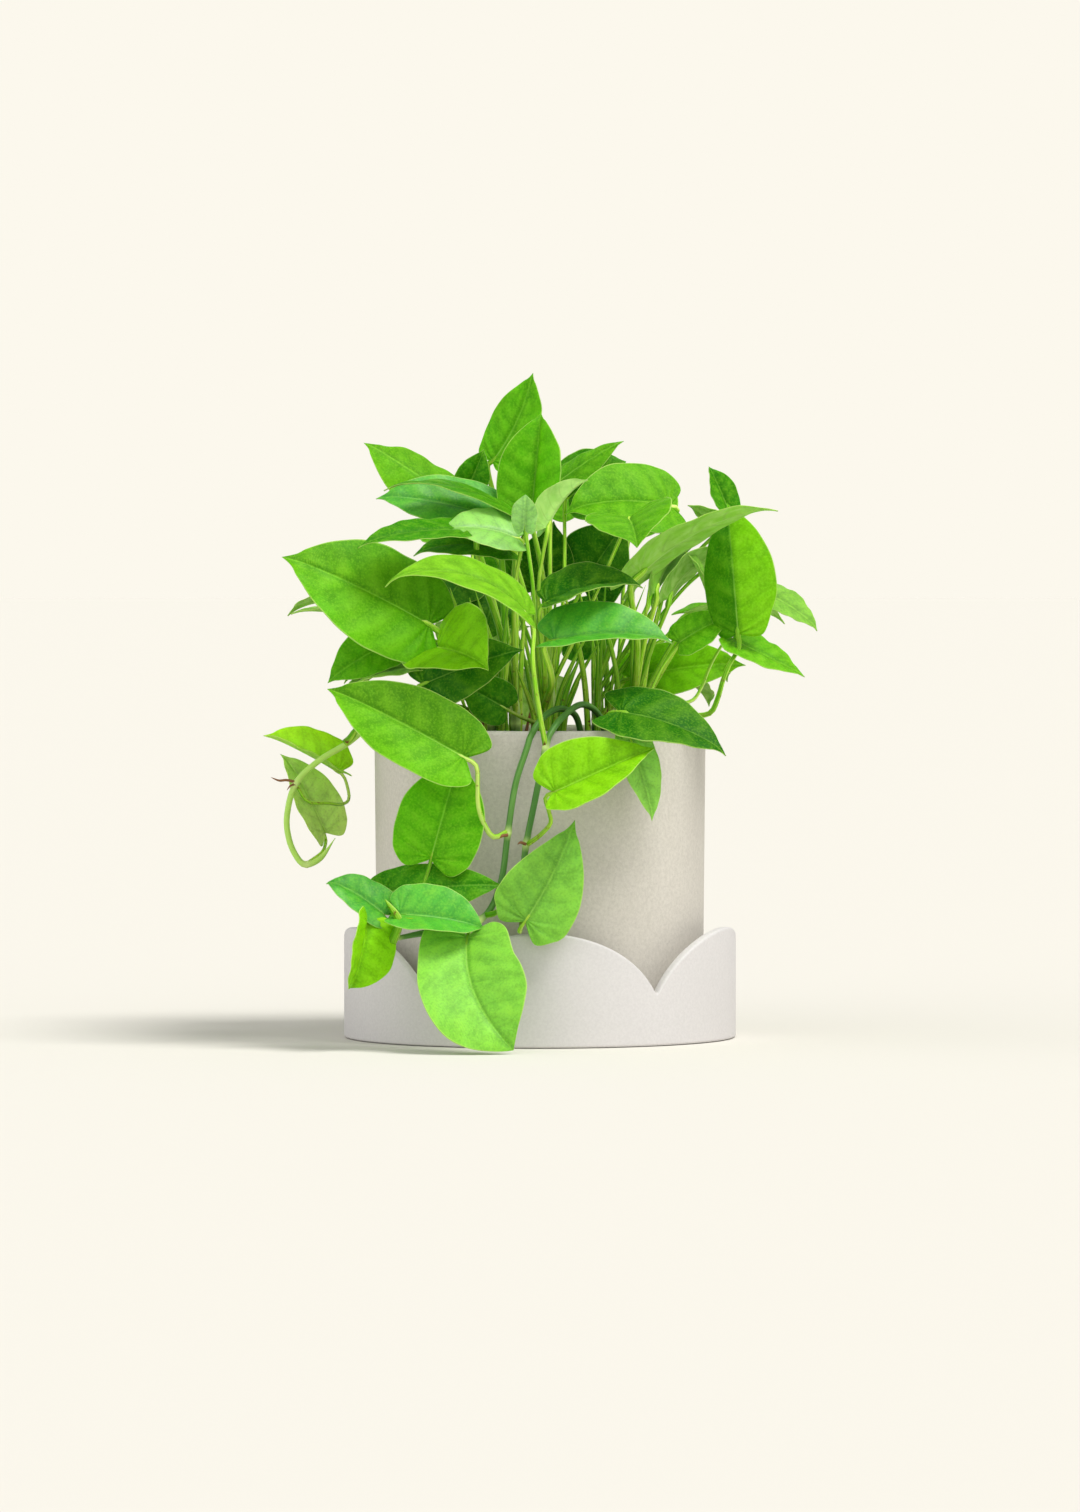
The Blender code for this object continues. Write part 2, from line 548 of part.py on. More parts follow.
def mesh_object(name, points, faces, colour, roughness, smooth_angle=40):
    """A named object with its own material, its faces turned outwards."""
    mesh = bpy.data.meshes.new(name)
    places = [tuple(point) for point in np.asarray(points) * MM]
    mesh.from_pydata(places, [], [tuple(face) for face in faces])
    work = bmesh.new()
    work.from_mesh(mesh)
    bmesh.ops.recalc_face_normals(work, faces=work.faces)
    work.to_mesh(mesh)
    work.free()
    mesh.shade_smooth()
    mesh.set_sharp_from_angle(angle=math.radians(smooth_angle))
    material = bpy.data.materials.new(name)
    material.use_nodes = True
    shader = material.node_tree.nodes["Principled BSDF"]
    shader.inputs["Base Color"].default_value = (*colour, 1)
    shader.inputs["Roughness"].default_value = roughness
    shader.inputs["Metallic"].default_value = 0
    mesh.materials.append(material)
    obj = bpy.data.objects.new(name, mesh)
    bpy.context.scene.collection.objects.link(obj)
    return obj


def boolean(target, operation, solids):
    """Joins or cuts the target with the solids in one step, and applies it."""
    group = bpy.data.collections.new(target.name + "_tools")
    bpy.context.scene.collection.children.link(group)
    for number, (points, faces) in enumerate(solids):
        tool = mesh_object(f"{target.name}_tool_{number}", points, faces, LEAF_COLOUR, 0.5)
        bpy.context.scene.collection.objects.unlink(tool)
        group.objects.link(tool)
    modifier = target.modifiers.new(operation, "BOOLEAN")
    modifier.operation = operation
    modifier.solver = "MANIFOLD"
    modifier.operand_type = "COLLECTION"
    modifier.collection = group
    evaluated = target.evaluated_get(bpy.context.evaluated_depsgraph_get())
    joined = bpy.data.meshes.new_from_object(evaluated)
    target.modifiers.clear()
    target.data = joined
    for tool in list(group.objects):
        bpy.data.objects.remove(tool)
    bpy.data.collections.remove(group)


def scallop_top(angle):
    """Height of the saucer's edge at an angle from the front, in radians."""
    share = math.tau / SCALLOPS
    from_peak = (angle + share / 2) % share - share / 2
    along = SAUCER_RADIUS * from_peak / SCALLOP_REACH
    return SCALLOP_PEAK - SCALLOP_DEPTH * (1 - math.sqrt(1 - along**2))


def saucer_angles():
    """Angles of the saucer's columns, closer together at the notches."""
    share = math.tau / SCALLOPS
    for scallop in range(SCALLOPS):
        for column in range(SCALLOP_COLUMNS):
            even = 2 * column / SCALLOP_COLUMNS - 1
            crowded = math.sin(even * math.pi / 2)
            place = even + (crowded - even) * NOTCH_CROWDING
            yield share * (scallop + place / 2)


def even_angles(count):
    return [math.tau * column / count for column in range(count)]


def rings_solid(angles, profile):
    """Points and side faces of a round piece, and its rows of points.

    profile gives the (radius, height) pairs of one column for its angle from the front.
    """
    angles = list(angles)
    points = []
    for angle in angles:
        points += [
            (radius * math.sin(angle), -radius * math.cos(angle), height) for radius, height in profile(angle)
        ]
    row_count = len(points) // len(angles)
    rows = [list(range(row, len(points), row_count)) for row in range(row_count)]
    faces = []
    for low, high in zip(rows, rows[1:]):
        faces += band(low, high)
    return points, faces, rows


def band(low, high):
    """The ring of faces between two closed rows of points."""
    after = (low[1:] + low[:1], high[1:] + high[:1])
    return list(zip(low, after[0], after[1], high))


def add_fan(points, faces, row, height):
    """Closes a row of points with triangles round a centre on the axis."""
    centre = len(points)
    points.append((0.0, 0.0, height))
    faces += [(centre, start, end) for start, end in zip(row, row[1:] + row[:1])]


def make_saucer():
    inner = SAUCER_RADIUS - SAUCER_WALL

    def profile(angle):
        top = scallop_top(angle)
        return [
            (SAUCER_RADIUS - SAUCER_EDGE, 0), (SAUCER_RADIUS, SAUCER_EDGE),
            (SAUCER_RADIUS, top - SAUCER_EDGE), (SAUCER_RADIUS - SAUCER_EDGE, top),
            (inner + SAUCER_EDGE, top), (inner, top - SAUCER_EDGE), (inner, SAUCER_FLOOR),
        ]

    points, faces, rows = rings_solid(saucer_angles(), profile)
    add_fan(points, faces, rows[0], 0.0)
    add_fan(points, faces, rows[-1], SAUCER_FLOOR)
    mesh_object("saucer", points, faces, SAUCER_COLOUR, 0.6)


def make_pot():
    floor = POT_BOTTOM + POT_FLOOR
    profile = [
        (DRAIN_RADIUS, POT_BOTTOM), (POT_BOTTOM_RADIUS - POT_EDGE, POT_BOTTOM),
        (POT_BOTTOM_RADIUS, POT_BOTTOM + POT_EDGE), (POT_TOP_RADIUS, POT_TOP - POT_EDGE),
        (POT_TOP_RADIUS - POT_EDGE, POT_TOP), (POT_TOP_RADIUS - POT_WALL + POT_EDGE, POT_TOP),
        (POT_TOP_RADIUS - POT_WALL, POT_TOP - POT_EDGE), (POT_BOTTOM_RADIUS - POT_WALL, floor),
        (DRAIN_RADIUS, floor),
    ]
    points, faces, rows = rings_solid(even_angles(POT_COLUMNS), lambda angle: profile)
    faces += band(rows[-1], rows[0])
    mesh_object("pot", points, faces, POT_COLOUR, 0.75)


def pot_inside(height):
    """Inner radius of the pot at a height."""
    floor, lip = POT_BOTTOM + POT_FLOOR, POT_TOP - POT_EDGE
    share = (height - floor) / (lip - floor)
    return POT_BOTTOM_RADIUS + (POT_TOP_RADIUS - POT_BOTTOM_RADIUS) * share - POT_WALL


def soil_height(x, y):
    """Top of the soil: a low mound with soft bumps."""
    (wide_x, wide_y), (fine_x, fine_y) = SOIL_BUMPS
    bumps = math.sin(x * wide_x + 1) * math.cos(y * wide_y) + 0.6 * math.sin(x * fine_x - y * fine_y)
    return SOIL_TOP + SOIL_RELIEF * bumps - SOIL_FALL * (math.hypot(x, y) / POT_TOP_RADIUS) ** 2


def make_soil():
    floor = POT_BOTTOM + POT_FLOOR + GAP
    edge = SOIL_TOP - SOIL_FALL - SOIL_EDGE
    drain = DRAIN_RADIUS - GAP

    def profile(angle):
        rings = [
            (radius, soil_height(radius * math.sin(angle), -radius * math.cos(angle)))
            for radius in SOIL_RINGS
        ]
        walls = [(pot_inside(height) - GAP, height) for height in (floor, edge)]
        return [(drain, POT_BOTTOM), (drain, floor), *walls, *rings]

    points, faces, rows = rings_solid(even_angles(SOIL_COLUMNS), profile)
    add_fan(points, faces, rows[0], POT_BOTTOM)
    add_fan(points, faces, rows[-1], soil_height(0, 0))
    soil = mesh_object("soil", points, faces, SOIL_COLOUR, 0.95)
    holes = []
    for stem in STEMS.values():
        x, y = stem["root"]
        route = np.array([(x, y, SOIL_TOP - ROOT_DEPTH - GAP), (x, y, SOIL_TOP + HOLE_RISE)])
        radius = (stem["radius"] + GAP) / math.cos(math.pi / HOLE_SIDES)
        holes.append(tube_solid(route, (radius, radius), HOLE_SIDES))
    boolean(soil, "DIFFERENCE", holes)


def leaf_solid(plan, stem_line):
    """One leaf as a closed solid: its blade, split alike on both faces, and the stalk out of its notch."""
    flat, triangles, loop = blade_grid(1 if plan["plain"] else 2, shaped_outline(plan))
    middle, normals = blade_places(plan, flat[:, 0], flat[:, 1])
    route = stalk_route(plan, stem_line)
    radii = np.linspace(*STALK_RADIUS, len(route))
    _, _, sides, _ = rib_of(plan)
    stalk, stalk_faces = tube_rings(route, radii, STALK_SIDES, sides[0])
    half = normals * BLADE_THICKNESS / 2
    points = np.concatenate([middle + half, middle - half, stalk])
    count = len(flat)
    faces = [corners[::-1] for corners in triangles]
    faces += [tuple(corner + count for corner in corners) for corners in triangles]
    for start, end in zip(loop[1:], loop[2:]):
        faces += [(start, end, end + count), (start, end + count, start + count)]
    left, under, right, over = range(2 * count, 2 * count + STALK_SIDES)
    notch = loop[0]
    for beside, corner, way in ((left, loop[1], 1), (right, loop[-1], -1)):
        joint = [
            (over, beside, notch), (beside, corner, notch), (beside, corner + count, corner),
            (beside, notch + count, corner + count), (beside, under, notch + count),
        ]
        faces += [corners[::way] for corners in joint]
    faces += [tuple(corner + 2 * count for corner in corners) for corners in stalk_faces]
    faces.append(tuple(range(len(points) - STALK_SIDES, len(points))))
    return points, faces


def stem_solids(stem):
    """The solids of one leafy stem: the stem itself, then its leaves."""
    route = stem_route(stem)
    line = fine_line(stem)
    leaves = [leaf_solid(plan, line) for plan in stem["leaves"]]
    return [tube_solid(route, [stem["radius"]] * len(route), STEM_SIDES), *leaves]


def make_stem(name, stem):
    first, *others = stem_solids(stem)
    obj = mesh_object(name, *first, LEAF_COLOUR, 0.45)
    boolean(obj, "UNION", others)


def main():
    for obj in list(bpy.data.objects):
        bpy.data.objects.remove(obj)
    make_saucer()
    make_pot()
    make_soil()
    for name, stem in STEMS.items():
        make_stem(name, stem)


if __name__ == "__main__":
    main()
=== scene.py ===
"""The looks of the potted jade pothos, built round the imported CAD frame.

Metres, +Z up, front towards -Y. Places and sizes in the tables are in millimetres, as in the part's own
source, and are scaled when the meshes are made.
"""
import math
import random

import bpy
import numpy as np
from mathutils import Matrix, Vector, noise


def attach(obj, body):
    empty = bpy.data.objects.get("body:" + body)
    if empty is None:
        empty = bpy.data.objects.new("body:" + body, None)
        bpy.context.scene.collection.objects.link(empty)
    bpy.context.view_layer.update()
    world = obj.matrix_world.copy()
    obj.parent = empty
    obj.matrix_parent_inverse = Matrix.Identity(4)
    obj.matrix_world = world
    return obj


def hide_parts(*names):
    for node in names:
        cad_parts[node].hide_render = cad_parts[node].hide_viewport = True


MM = 0.001

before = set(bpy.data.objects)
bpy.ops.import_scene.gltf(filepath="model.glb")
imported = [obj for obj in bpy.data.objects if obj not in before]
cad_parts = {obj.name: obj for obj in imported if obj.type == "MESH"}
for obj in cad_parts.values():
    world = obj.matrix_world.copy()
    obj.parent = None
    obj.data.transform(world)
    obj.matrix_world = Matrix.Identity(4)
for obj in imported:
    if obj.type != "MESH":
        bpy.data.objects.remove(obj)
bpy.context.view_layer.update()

GAP = 0.35

# Saucer
SAUCER_RADIUS = 98.0
SAUCER_WALL = 5.0
SAUCER_FLOOR = 6.0
SCALLOPS = 5
SCALLOP_PEAK = 55.9
SCALLOP_DEPTH = 49.0
SCALLOP_REACH = 66.0

# Pot
POT_BOTTOM_RADIUS = 81.4
POT_TOP_RADIUS = 82.8
POT_TOP = 154.3
POT_WALL = 6.2
POT_FLOOR = 8.0
DRAIN_RADIUS = 6.0
POT_BOTTOM = SAUCER_FLOOR + GAP

# Soil
SOIL_TOP = 145.0
SOIL_RELIEF = 1.6
SOIL_FALL = 2.5
SOIL_BUMPS = ((0.19, 0.17), (0.31, 0.27))
SOIL_EDGE = 1.0
ROOT_DEPTH = 20.0
ROOT_STRAIGHT = (3.0, 8.0)

# Leaf: a heart with a drawn-out tip, as (along the rib, out from the rib)
# in parts of its length and of its half width
OUTLINE = (
    (-0.05, 0.11), (-0.13, 0.52), (-0.02, 0.85), (0.20, 1.00),
    (0.44, 0.95), (0.66, 0.70), (0.85, 0.31), (1.00, 0.00),
)
LOBE_NARROWING = 0.35
VEIN_SLANT = 0.2
VEIN_BOW = 0.05
RIB_BEHIND = -0.25
RIB_STEPS = 201
HOOK_FROM = 0.7
EDGE_TURN = -12.0
WAVE = 0.4
WAVE_TURNS = 1.5

# Stalks and stems
FINE_STEPS = 400
CURVE_STEPS = 12
STALK_STEPS = 5
STALK_ARC = ((0.12, 0.45), (0.14, 0.26))
STALK_NECK = 0.13
STALK_UNDER = 2.0
STALK_CLEAR = 4.0


def leaf(
    base, tip, up, width, bend=20, fold=(12, 12), hook=20, twist=0, sway=0, full=1, lobes=1, stalk=(),
    plain=False
):
    """One leaf of the plan: where its blade starts and ends, where its upper face looks, and how it is bent.

    bend, hook, fold and twist are in degrees: the rib's arch, the extra curl of its tip, how far the left
    and right halves are folded up, and the turn about the rib from base to tip. sway is how far the rib
    bows to the blade's left, full under 1 gives a rounder blade, and lobes is how far it reaches back past
    its stalk. A plain leaf's stalk has a coarse route of one step fewer.
    stalk holds the place on the stem that it springs from, and places that it passes through.
    """
    return {
        "base": base, "tip": tip, "up": up, "width": width, "bend": bend, "fold": fold, "hook": hook,
        "twist": twist, "sway": sway, "full": full, "lobes": lobes, "stalk": stalk, "plain": plain,
    }


def rooted(root, route, radius, *leaves):
    """One stem of the plan: where it stands in the soil, its route from there, its radius and its leaves."""
    return {"root": root, "route": route, "radius": radius, "leaves": leaves}


STEMS = {
    "vine_front_left": rooted(
        (20, -44), [(17, -52, 162), (9, -68, 165), (1, -82, 160.5), (-4.5, -89, 152), (-6.3, -91, 146.5),
            (-12, -93, 128.5), (-15.6, -94.5, 105.4), (-19, -95, 81), (-26, -97.5, 65.5), (-38, -101, 59),
            (-54, -104, 57), (-70, -106, 54)], 1.9,
        leaf((-37.5, -108, 142.5), (-103.8, -95, 175.1), (0.1, -1, 0.45), 44, bend=14, fold=(14, 10),
            full=0.9, stalk=((-15.6, -94.5, 105.4), (-21.5, -98, 102.5), (-27, -102, 109),
            (-30.5, -105.5, 122))),
        leaf((-53, -98, 93), (-39, -90, 141), (-0.1, -1, 0.1), 44, bend=16, fold=(8, 14), full=0.85,
            stalk=((-48, -103, 57.5), (-58, -100, 72))),
        leaf((-76, -96, 76), (-17, -99, 79), (0, -0.88, 0.48), 27, bend=16, fold=(4, 0),
            stalk=((-70, -106, 54), (-78, -98, 58), (-84, -92, 68))),
        leaf((-68, -113, 66), (-27, -110, 58.5), (0, -0.85, 0.52), 34, bend=30, fold=(14, 44), full=0.8,
            stalk=((-70, -106, 54), (-74, -108, 56))),
        leaf((-84, -116, 62), (-92.5, -117, 30.5), (0.35, -0.93, 0.05), 34, bend=36, fold=(8, 62),
            hook=60, full=0.7, stalk=((-70, -106, 54), (-77, -98, 56), (-85, -102, 61))),
        leaf((-76, -108, 66), (-104, -106, 80.5), (0.1, -0.75, 0.65), 25, bend=36, fold=(20, 12), hook=60,
            stalk=((-70, -106, 54), (-71, -101, 59))),
        leaf((-35.3, -113, 54.5), (-12.8, -140, 1.6), (0.05, -0.9, 0.4), 53, bend=26, fold=(24, 16),
            sway=-8, full=0.55, lobes=0.8, stalk=((-30, -99, 63), (-33, -105, 63))),
    ),
    "vine_front_right": rooted(
        (32, -38), [(28, -47, 163), (20, -64, 167), (11, -80, 161), (5.5, -88, 154), (2.9, -91, 147),
            (-2.4, -93, 121), (-6.8, -94.5, 99), (-8, -96, 86), (-8, -99, 74)], 1.9,
        leaf((-6.3, -92, 211.5), (-75.4, -100, 224.8), (0, -0.4, 0.9), 42, bend=76, hook=30, full=1.2,
            lobes=0.5, stalk=((2.9, -91, 147), (-0.5, -93, 165), (-3.6, -94, 189))),
        leaf((7.5, -108, 125.4), (56, -100, 146.5), (0.0, -1, 0.2), 42, bend=16, fold=(2, 54), full=1.2,
            stalk=((-6.8, -94.5, 99), (0, -100, 104), (5.5, -104, 111.5))),
        leaf((-6.8, -106, 63), (17, -100, 111.5), (0.05, -1, 0.2), 41, bend=18, fold=(14, 8), sway=-2,
            full=1.4, stalk=((-8, -99, 74), (-9.5, -99.2, 57.8))),
    ),
    "vine_left": rooted(
        (-50, -8), [(-58, -10, 162), (-74, -13, 164), (-84, -15, 157), (-95, -15.5, 147.5),
            (-110, -16, 138.3), (-121.6, -16, 126.9), (-126, -16, 111), (-125, -16, 99), (-121, -16, 90),
            (-116.6, -16, 86.5), (-109, -16, 90), (-102, -16, 99.7)], 1.5,
        leaf((-101, 8, 132.5), (-138.5, 6, 150.3), (0.35, -0.7, 0.61), 40, bend=14, fold=(56, 4),
            stalk=((-121.6, -16, 126.9), (-116, -15.5, 118), (-105, -12, 117), (-96, 3, 117))),
        leaf((-108, 4, 102.5), (-130, 6, 141), (0.61, -0.7, 0.34), 34, bend=16, fold=(28, 16),
            stalk=((-116.6, -16, 86.5), (-109, -8, 92))),
    ),
    "stem_left_low": rooted(
        (-24, -36), [(-26, -38, 168)], 2.2,
        leaf((-55, -58, 206.6), (-126.6, -72, 239.5), (0.0, -0.85, 0.5), 58, bend=18, fold=(8, 4),
            full=0.9, stalk=((-26, -38, 168),)),
        leaf((-50, -60, 195), (-25, -92, 184), (-0.2, -0.3, 0.9), 50, bend=24, fold=(50, 6),
            stalk=((-25.5, -37.5, 165), (-37, -46, 182))),
        leaf((-57, -50, 177), (-8, -66, 194), (0.1, -0.9, 0.4), 34, bend=20, stalk=((-25, -37, 160),
            (-44, -36, 166), (-60, -36, 168))),
        leaf((-80, -42, 208), (-123, -50, 211.4), (0, -0.1, 1), 22, bend=24, plain=True,
            stalk=((-26, -38, 168), (-48, -38, 196))),
        leaf((-72, -34, 198), (-105, -40, 177.2), (0.1, -0.8, 0.6), 28, bend=34, plain=True,
            stalk=((-25, -37, 162), (-48, -34, 188))),
        leaf((-56, -36, 185), (-97.4, -44, 173.2), (0, -0.3, 1), 26, bend=34, plain=True,
            stalk=((-24, -36, 157), (-40, -36, 176))),
    ),
    "stem_left_high": rooted(
        (-12, -18), [(-13, -20, 175)], 2.2,
        leaf((-45, 10, 269.7), (-88.5, 18, 297), (0.1, -0.9, 0.45), 35, bend=10, fold=(6, -24),
            stalk=((-13, -20, 175), (-28, -6, 235))),
        leaf((-11, -38, 259.5), (-77.2, -42, 272.3), (0, -0.2, 1), 30, bend=50, fold=(6, 4), full=1.2,
            stalk=((-13, -20, 172),)),
        leaf((-24.3, -24, 260), (-81.5, -24, 268.5), (0, -0.78, 0.62), 35, bend=28, fold=(14, 12),
            stalk=((-13, -20, 175),)),
        leaf((-36.9, -60, 252.8), (-89, -82, 243.9), (0.1, -0.35, 0.93), 26, bend=20, twist=-8, full=1.15,
            stalk=((-12.5, -19, 168),)),
        leaf((-11.8, -58, 249), (-49.3, -60, 251.5), (0, -0.55, 0.8), 34, bend=42,
            stalk=((-12.5, -19, 163), (-13, -46, 218))),
        leaf((-15.8, -42, 243), (-62.5, -46, 240), (0, -0.5, 0.9), 30, bend=40, plain=True,
            stalk=((-12, -18, 158), (-13, -36, 215))),
    ),
    "stem_centre": rooted(
        (6, 2), [(5, 2, 178)], 2.2,
        leaf((-23.5, 8, 288), (-3.5, 2, 331.7), (-0.3, -0.95, 0.1), 27, bend=-14, fold=(6, 16), hook=10,
            sway=-2.5, full=0.75, lobes=0.4, stalk=((5, 2, 178), (-12, 6, 236))),
        leaf((-4, -20, 263), (0.5, -16, 311.4), (0.05, -1, 0.1), 38, bend=14, fold=(8, 56), full=0.85,
            stalk=((5, 2, 174), (2, -10, 226))),
        leaf((-36.5, -5, 273), (-28, -7, 293.5), (0.3, -0.9, 0.1), 18, bend=14, fold=(8, 40), plain=True,
            stalk=((5, 2, 170), (-16, 0, 226), (-30, -3, 256))),
        leaf((8.5, 22, 277), (42.2, 24, 298), (0.1, -0.8, 0.55), 19, bend=22, fold=(-24, 12), full=1.1,
            stalk=((5, 2, 166), (5, 14, 228))),
        leaf((15, 34, 270), (43.5, 38, 288), (-0.1, -0.9, 0.4), 37, bend=18, full=0.8, stalk=((6, 2, 160),
            (12, 22, 224))),
    ),
    "stem_right_high": rooted(
        (28, 4), [(29, 4, 178)], 2.2,
        leaf((63.8, -10, 265), (12.4, -28, 260.7), (0, -0.45, 0.9), 46, bend=34, fold=(-10, 40),
            stalk=((29, 4, 178), (50, -2, 232))),
        leaf((95, 2, 261), (84.4, 4, 285), (0.2, -1, 0), 17, bend=20, fold=(50, 0), full=0.8, lobes=0.5,
            stalk=((29, 4, 172), (70, 4, 232))),
        leaf((96, -2, 246), (73.7, -4, 265.5), (0.3, 0.5, 0.8), 22, bend=30, plain=True,
            stalk=((29, 4, 166), (70, 6, 222))),
        leaf((46, 6, 179), (103, 2, 185.5), (0, -0.85, 0.5), 32, bend=30, stalk=((28.5, 4, 158),
            (38, 6, 168))),
    ),
    "stem_right": rooted(
        (46, -8), [(47, -9, 172)], 2.2,
        leaf((49.5, -46, 232), (116.9, -66, 262.1), (-0.3, 0.5, 0.8), 26, bend=42, full=1.2, lobes=1.6,
            stalk=((47, -9, 172), (48, -36, 200))),
        leaf((57, -28, 223), (92, -17, 252), (-0.35, 0.45, 0.8), 30, bend=70, plain=True,
            stalk=((47, -9, 168), (52, -26, 198))),
        leaf((63.6, -22, 219.5), (98, -18, 242), (-0.35, 0.45, 0.8), 25, bend=70, plain=True,
            stalk=((46.5, -8.5, 164), (56, -20, 196))),
        leaf((85.5, -18, 216), (72, -24, 242.5), (0.8, -0.3, 0.4), 15, bend=20, fold=(30, 30), plain=True,
            stalk=((46, -8, 160), (68, -16, 200))),
        leaf((112, -12, 222), (138, -16, 202.8), (0.5, -0.6, 0.6), 22, bend=26, stalk=((46, -8, 157),
            (76, -10, 206), (98, -11, 220))),
    ),
    "vine_right": rooted(
        (48, -30), [(51, -35, 166), (58, -40, 170), (67, -44, 167), (76, -45, 161)], 2.0,
        leaf((97.8, -46, 201.8), (92.5, -32, 266.5), (0, -1, 0.2), 42, bend=18, fold=(-42, 4), full=0.75,
            lobes=0.25, stalk=((76, -45, 161), (84, -47, 162.5), (88.5, -48, 172), (92, -49, 184))),
        leaf((96.5, -36, 198.5), (131, -40, 180.2), (0.2, -0.75, 0.65), 28, bend=16, sway=-1.5,
            fold=(-8, 28), full=1.1, stalk=((67, -44, 167), (77, -40, 170), (85, -32, 187))),
        leaf((69.4, -34, 197.5), (95, -30, 209.5), (-0.2, -0.8, 0.6), 23, bend=30, stalk=((53, -35, 169),
            (60, -34, 184))),
    ),
    "stem_front_right": rooted(
        (38, -54), [(37, -59, 158)], 1.8,
        leaf((40, -87, 163.7), (90.7, -92, 142.4), (0.1, -0.55, 0.8), 45, bend=34, fold=(12, 10),
            full=1.3, lobes=1.6, stalk=((37, -59, 158), (36, -68, 160), (33, -78, 160))),
        leaf((44, -88, 151), (54.7, -90, 110.6), (0.45, -0.9, 0.2), 21, bend=20, fold=(16, 16),
            plain=True, stalk=((37.5, -57, 155), (40, -76, 159), (41, -86, 157))),
    ),
    "stem_front": rooted(
        (2, -32), [(2, -36, 170)], 2.2,
        leaf((3.4, -66, 217), (50.6, -62, 224.3), (0, -0.4, 0.9), 39, bend=42, fold=(22, 24), lobes=0.4,
            stalk=((2, -36, 170), (2.4, -60, 184))),
        leaf((7.3, -78, 198.3), (65.1, -79, 196.9), (0, -0.5, 0.87), 42, bend=30, fold=(30, 28),
            stalk=((2, -35, 165), (6, -68, 180))),
        leaf((43.9, -52, 258.3), (47.5, -80, 243.9), (0.1, -0.45, 0.9), 46, bend=24, fold=(40, 8),
            stalk=((2, -36, 168), (26, -46, 218))),
        leaf((3, -66, 254), (23.5, -62, 277.4), (-0.3, 0.5, 0.85), 21, bend=40, fold=(50, 50), plain=True,
            stalk=((2, -36, 170), (-1, -58, 220))),
        leaf((-7.5, -77, 253), (-7, -78, 270), (-0.2, -0.95, 0.2), 13, bend=24, full=0.6, plain=True,
            stalk=((2, -34, 162), (-3, -68, 212), (-4, -76, 238))),
        leaf((-17, -52, 165), (-39, -48, 177), (0, -1, 0.2), 24, bend=16, plain=True,
            stalk=((2, -32, 156), (-8, -46, 160))),
    ),
    "stem_back_left": rooted(
        (-30, 20), [(-32, 22, 168)], 2.2,
        leaf((-72, 34, 214), (-128, 52, 210), (-0.2, 0.1, 1), 46, bend=44, stalk=((-32, 22, 168),)),
        leaf((-58, 58, 230), (-92, 98, 222), (-0.2, 0.3, 1), 48, bend=46, stalk=((-32, 22, 166),)),
        leaf((-62, 58, 190), (-92, 92, 172), (-0.5, 0.4, 0.8), 44, bend=40, plain=True,
            stalk=((-31, 21, 162),)),
        leaf((-36, 46, 246), (-60, 76, 252), (-0.2, -0.1, 1), 42, bend=46, stalk=((-32, 22, 168),)),
        leaf((-22, 10, 224), (-30, 2, 196), (0.1, -1, 0.2), 30, bend=20, plain=True,
            stalk=((-32, 22, 166), (-28, 26, 200), (-22, 22, 222))),
        leaf((-36, 8, 232), (-50, -6, 212), (-0.1, -0.9, 0.4), 30, bend=24, plain=True,
            stalk=((-32, 22, 168),)),
        leaf((-70, 24, 186), (-99, 36, 176), (-0.5, 0.1, 0.8), 34, bend=36, plain=True,
            stalk=((-31, 21, 158),)),
    ),
    "stem_back": rooted(
        (2, 36), [(2, 38, 174)], 2.2,
        leaf((-6, 72, 240), (-14, 124, 234), (0, 0.2, 1), 50, bend=50, stalk=((2, 38, 174),)),
        leaf((2, 60, 262), (10, 96, 284), (0, -0.3, 1), 44, bend=46, stalk=((2, 38, 172),)),
        leaf((-24, 78, 204), (-46, 122, 184), (-0.1, 0.5, 0.9), 46, bend=44, plain=True,
            stalk=((2, 37, 166),)),
        leaf((18, 80, 208), (26, 130, 196), (0.1, 0.4, 0.9), 46, bend=44, stalk=((2, 37, 168),)),
        leaf((-2, 88, 178), (-8, 118, 150), (0, 0.8, 0.6), 38, bend=30, plain=True,
            stalk=((2, 36, 160),)),
        leaf((22, 36, 226), (44, 28, 257), (-0.3, -0.9, 0.2), 42, bend=20, plain=True,
            stalk=((2, 38, 174),)),
        leaf((-1, 40, 224), (7, 34, 258), (0.2, -1, 0.1), 32, bend=20, plain=True, stalk=((2, 38, 170),)),
        leaf((14, 50, 200), (48, 46, 210), (0.1, -0.85, 0.4), 34, bend=30, plain=True,
            stalk=((2, 37, 160), (4, 48, 180), (8, 55, 192))),
        leaf((-13, 38, 230), (-27, 32, 252), (0.1, -1, 0.1), 24, bend=16, plain=True, stalk=((2, 36, 158),
            (-8, 42, 200))),
    ),
    "stem_back_right": rooted(
        (36, 30), [(38, 32, 168)], 2.2,
        leaf((76, 36, 212), (124, 48, 206), (0.2, 0.1, 1), 44, bend=46, stalk=((38, 32, 168),)),
        leaf((62, 62, 232), (92, 102, 228), (0.2, 0.3, 1), 48, bend=46, stalk=((38, 32, 166),)),
        leaf((66, 60, 192), (96, 90, 176), (0.5, 0.4, 0.8), 44, bend=40, stalk=((37, 31, 162),)),
        leaf((46, 48, 254), (66, 74, 272), (0.1, -0.1, 1), 40, bend=46, stalk=((38, 32, 168),)),
        leaf((62, 36, 184), (86, 58, 164), (0.5, 0.1, 0.8), 36, bend=36, plain=True,
            stalk=((37, 31, 158),)),
    ),
}


def unit(vector):
    return vector / np.linalg.norm(vector)


def distances(route):
    """How far along a route each of its points lies."""
    return np.concatenate([[0], np.cumsum(np.linalg.norm(np.diff(route, axis=0), axis=1))])


def between(rows, steps, wanted):
    """Rows of three numbers that stand at even steps, found at the wanted step or steps between them."""
    return np.stack([np.interp(wanted, steps, rows[:, axis]) for axis in range(3)], axis=-1)


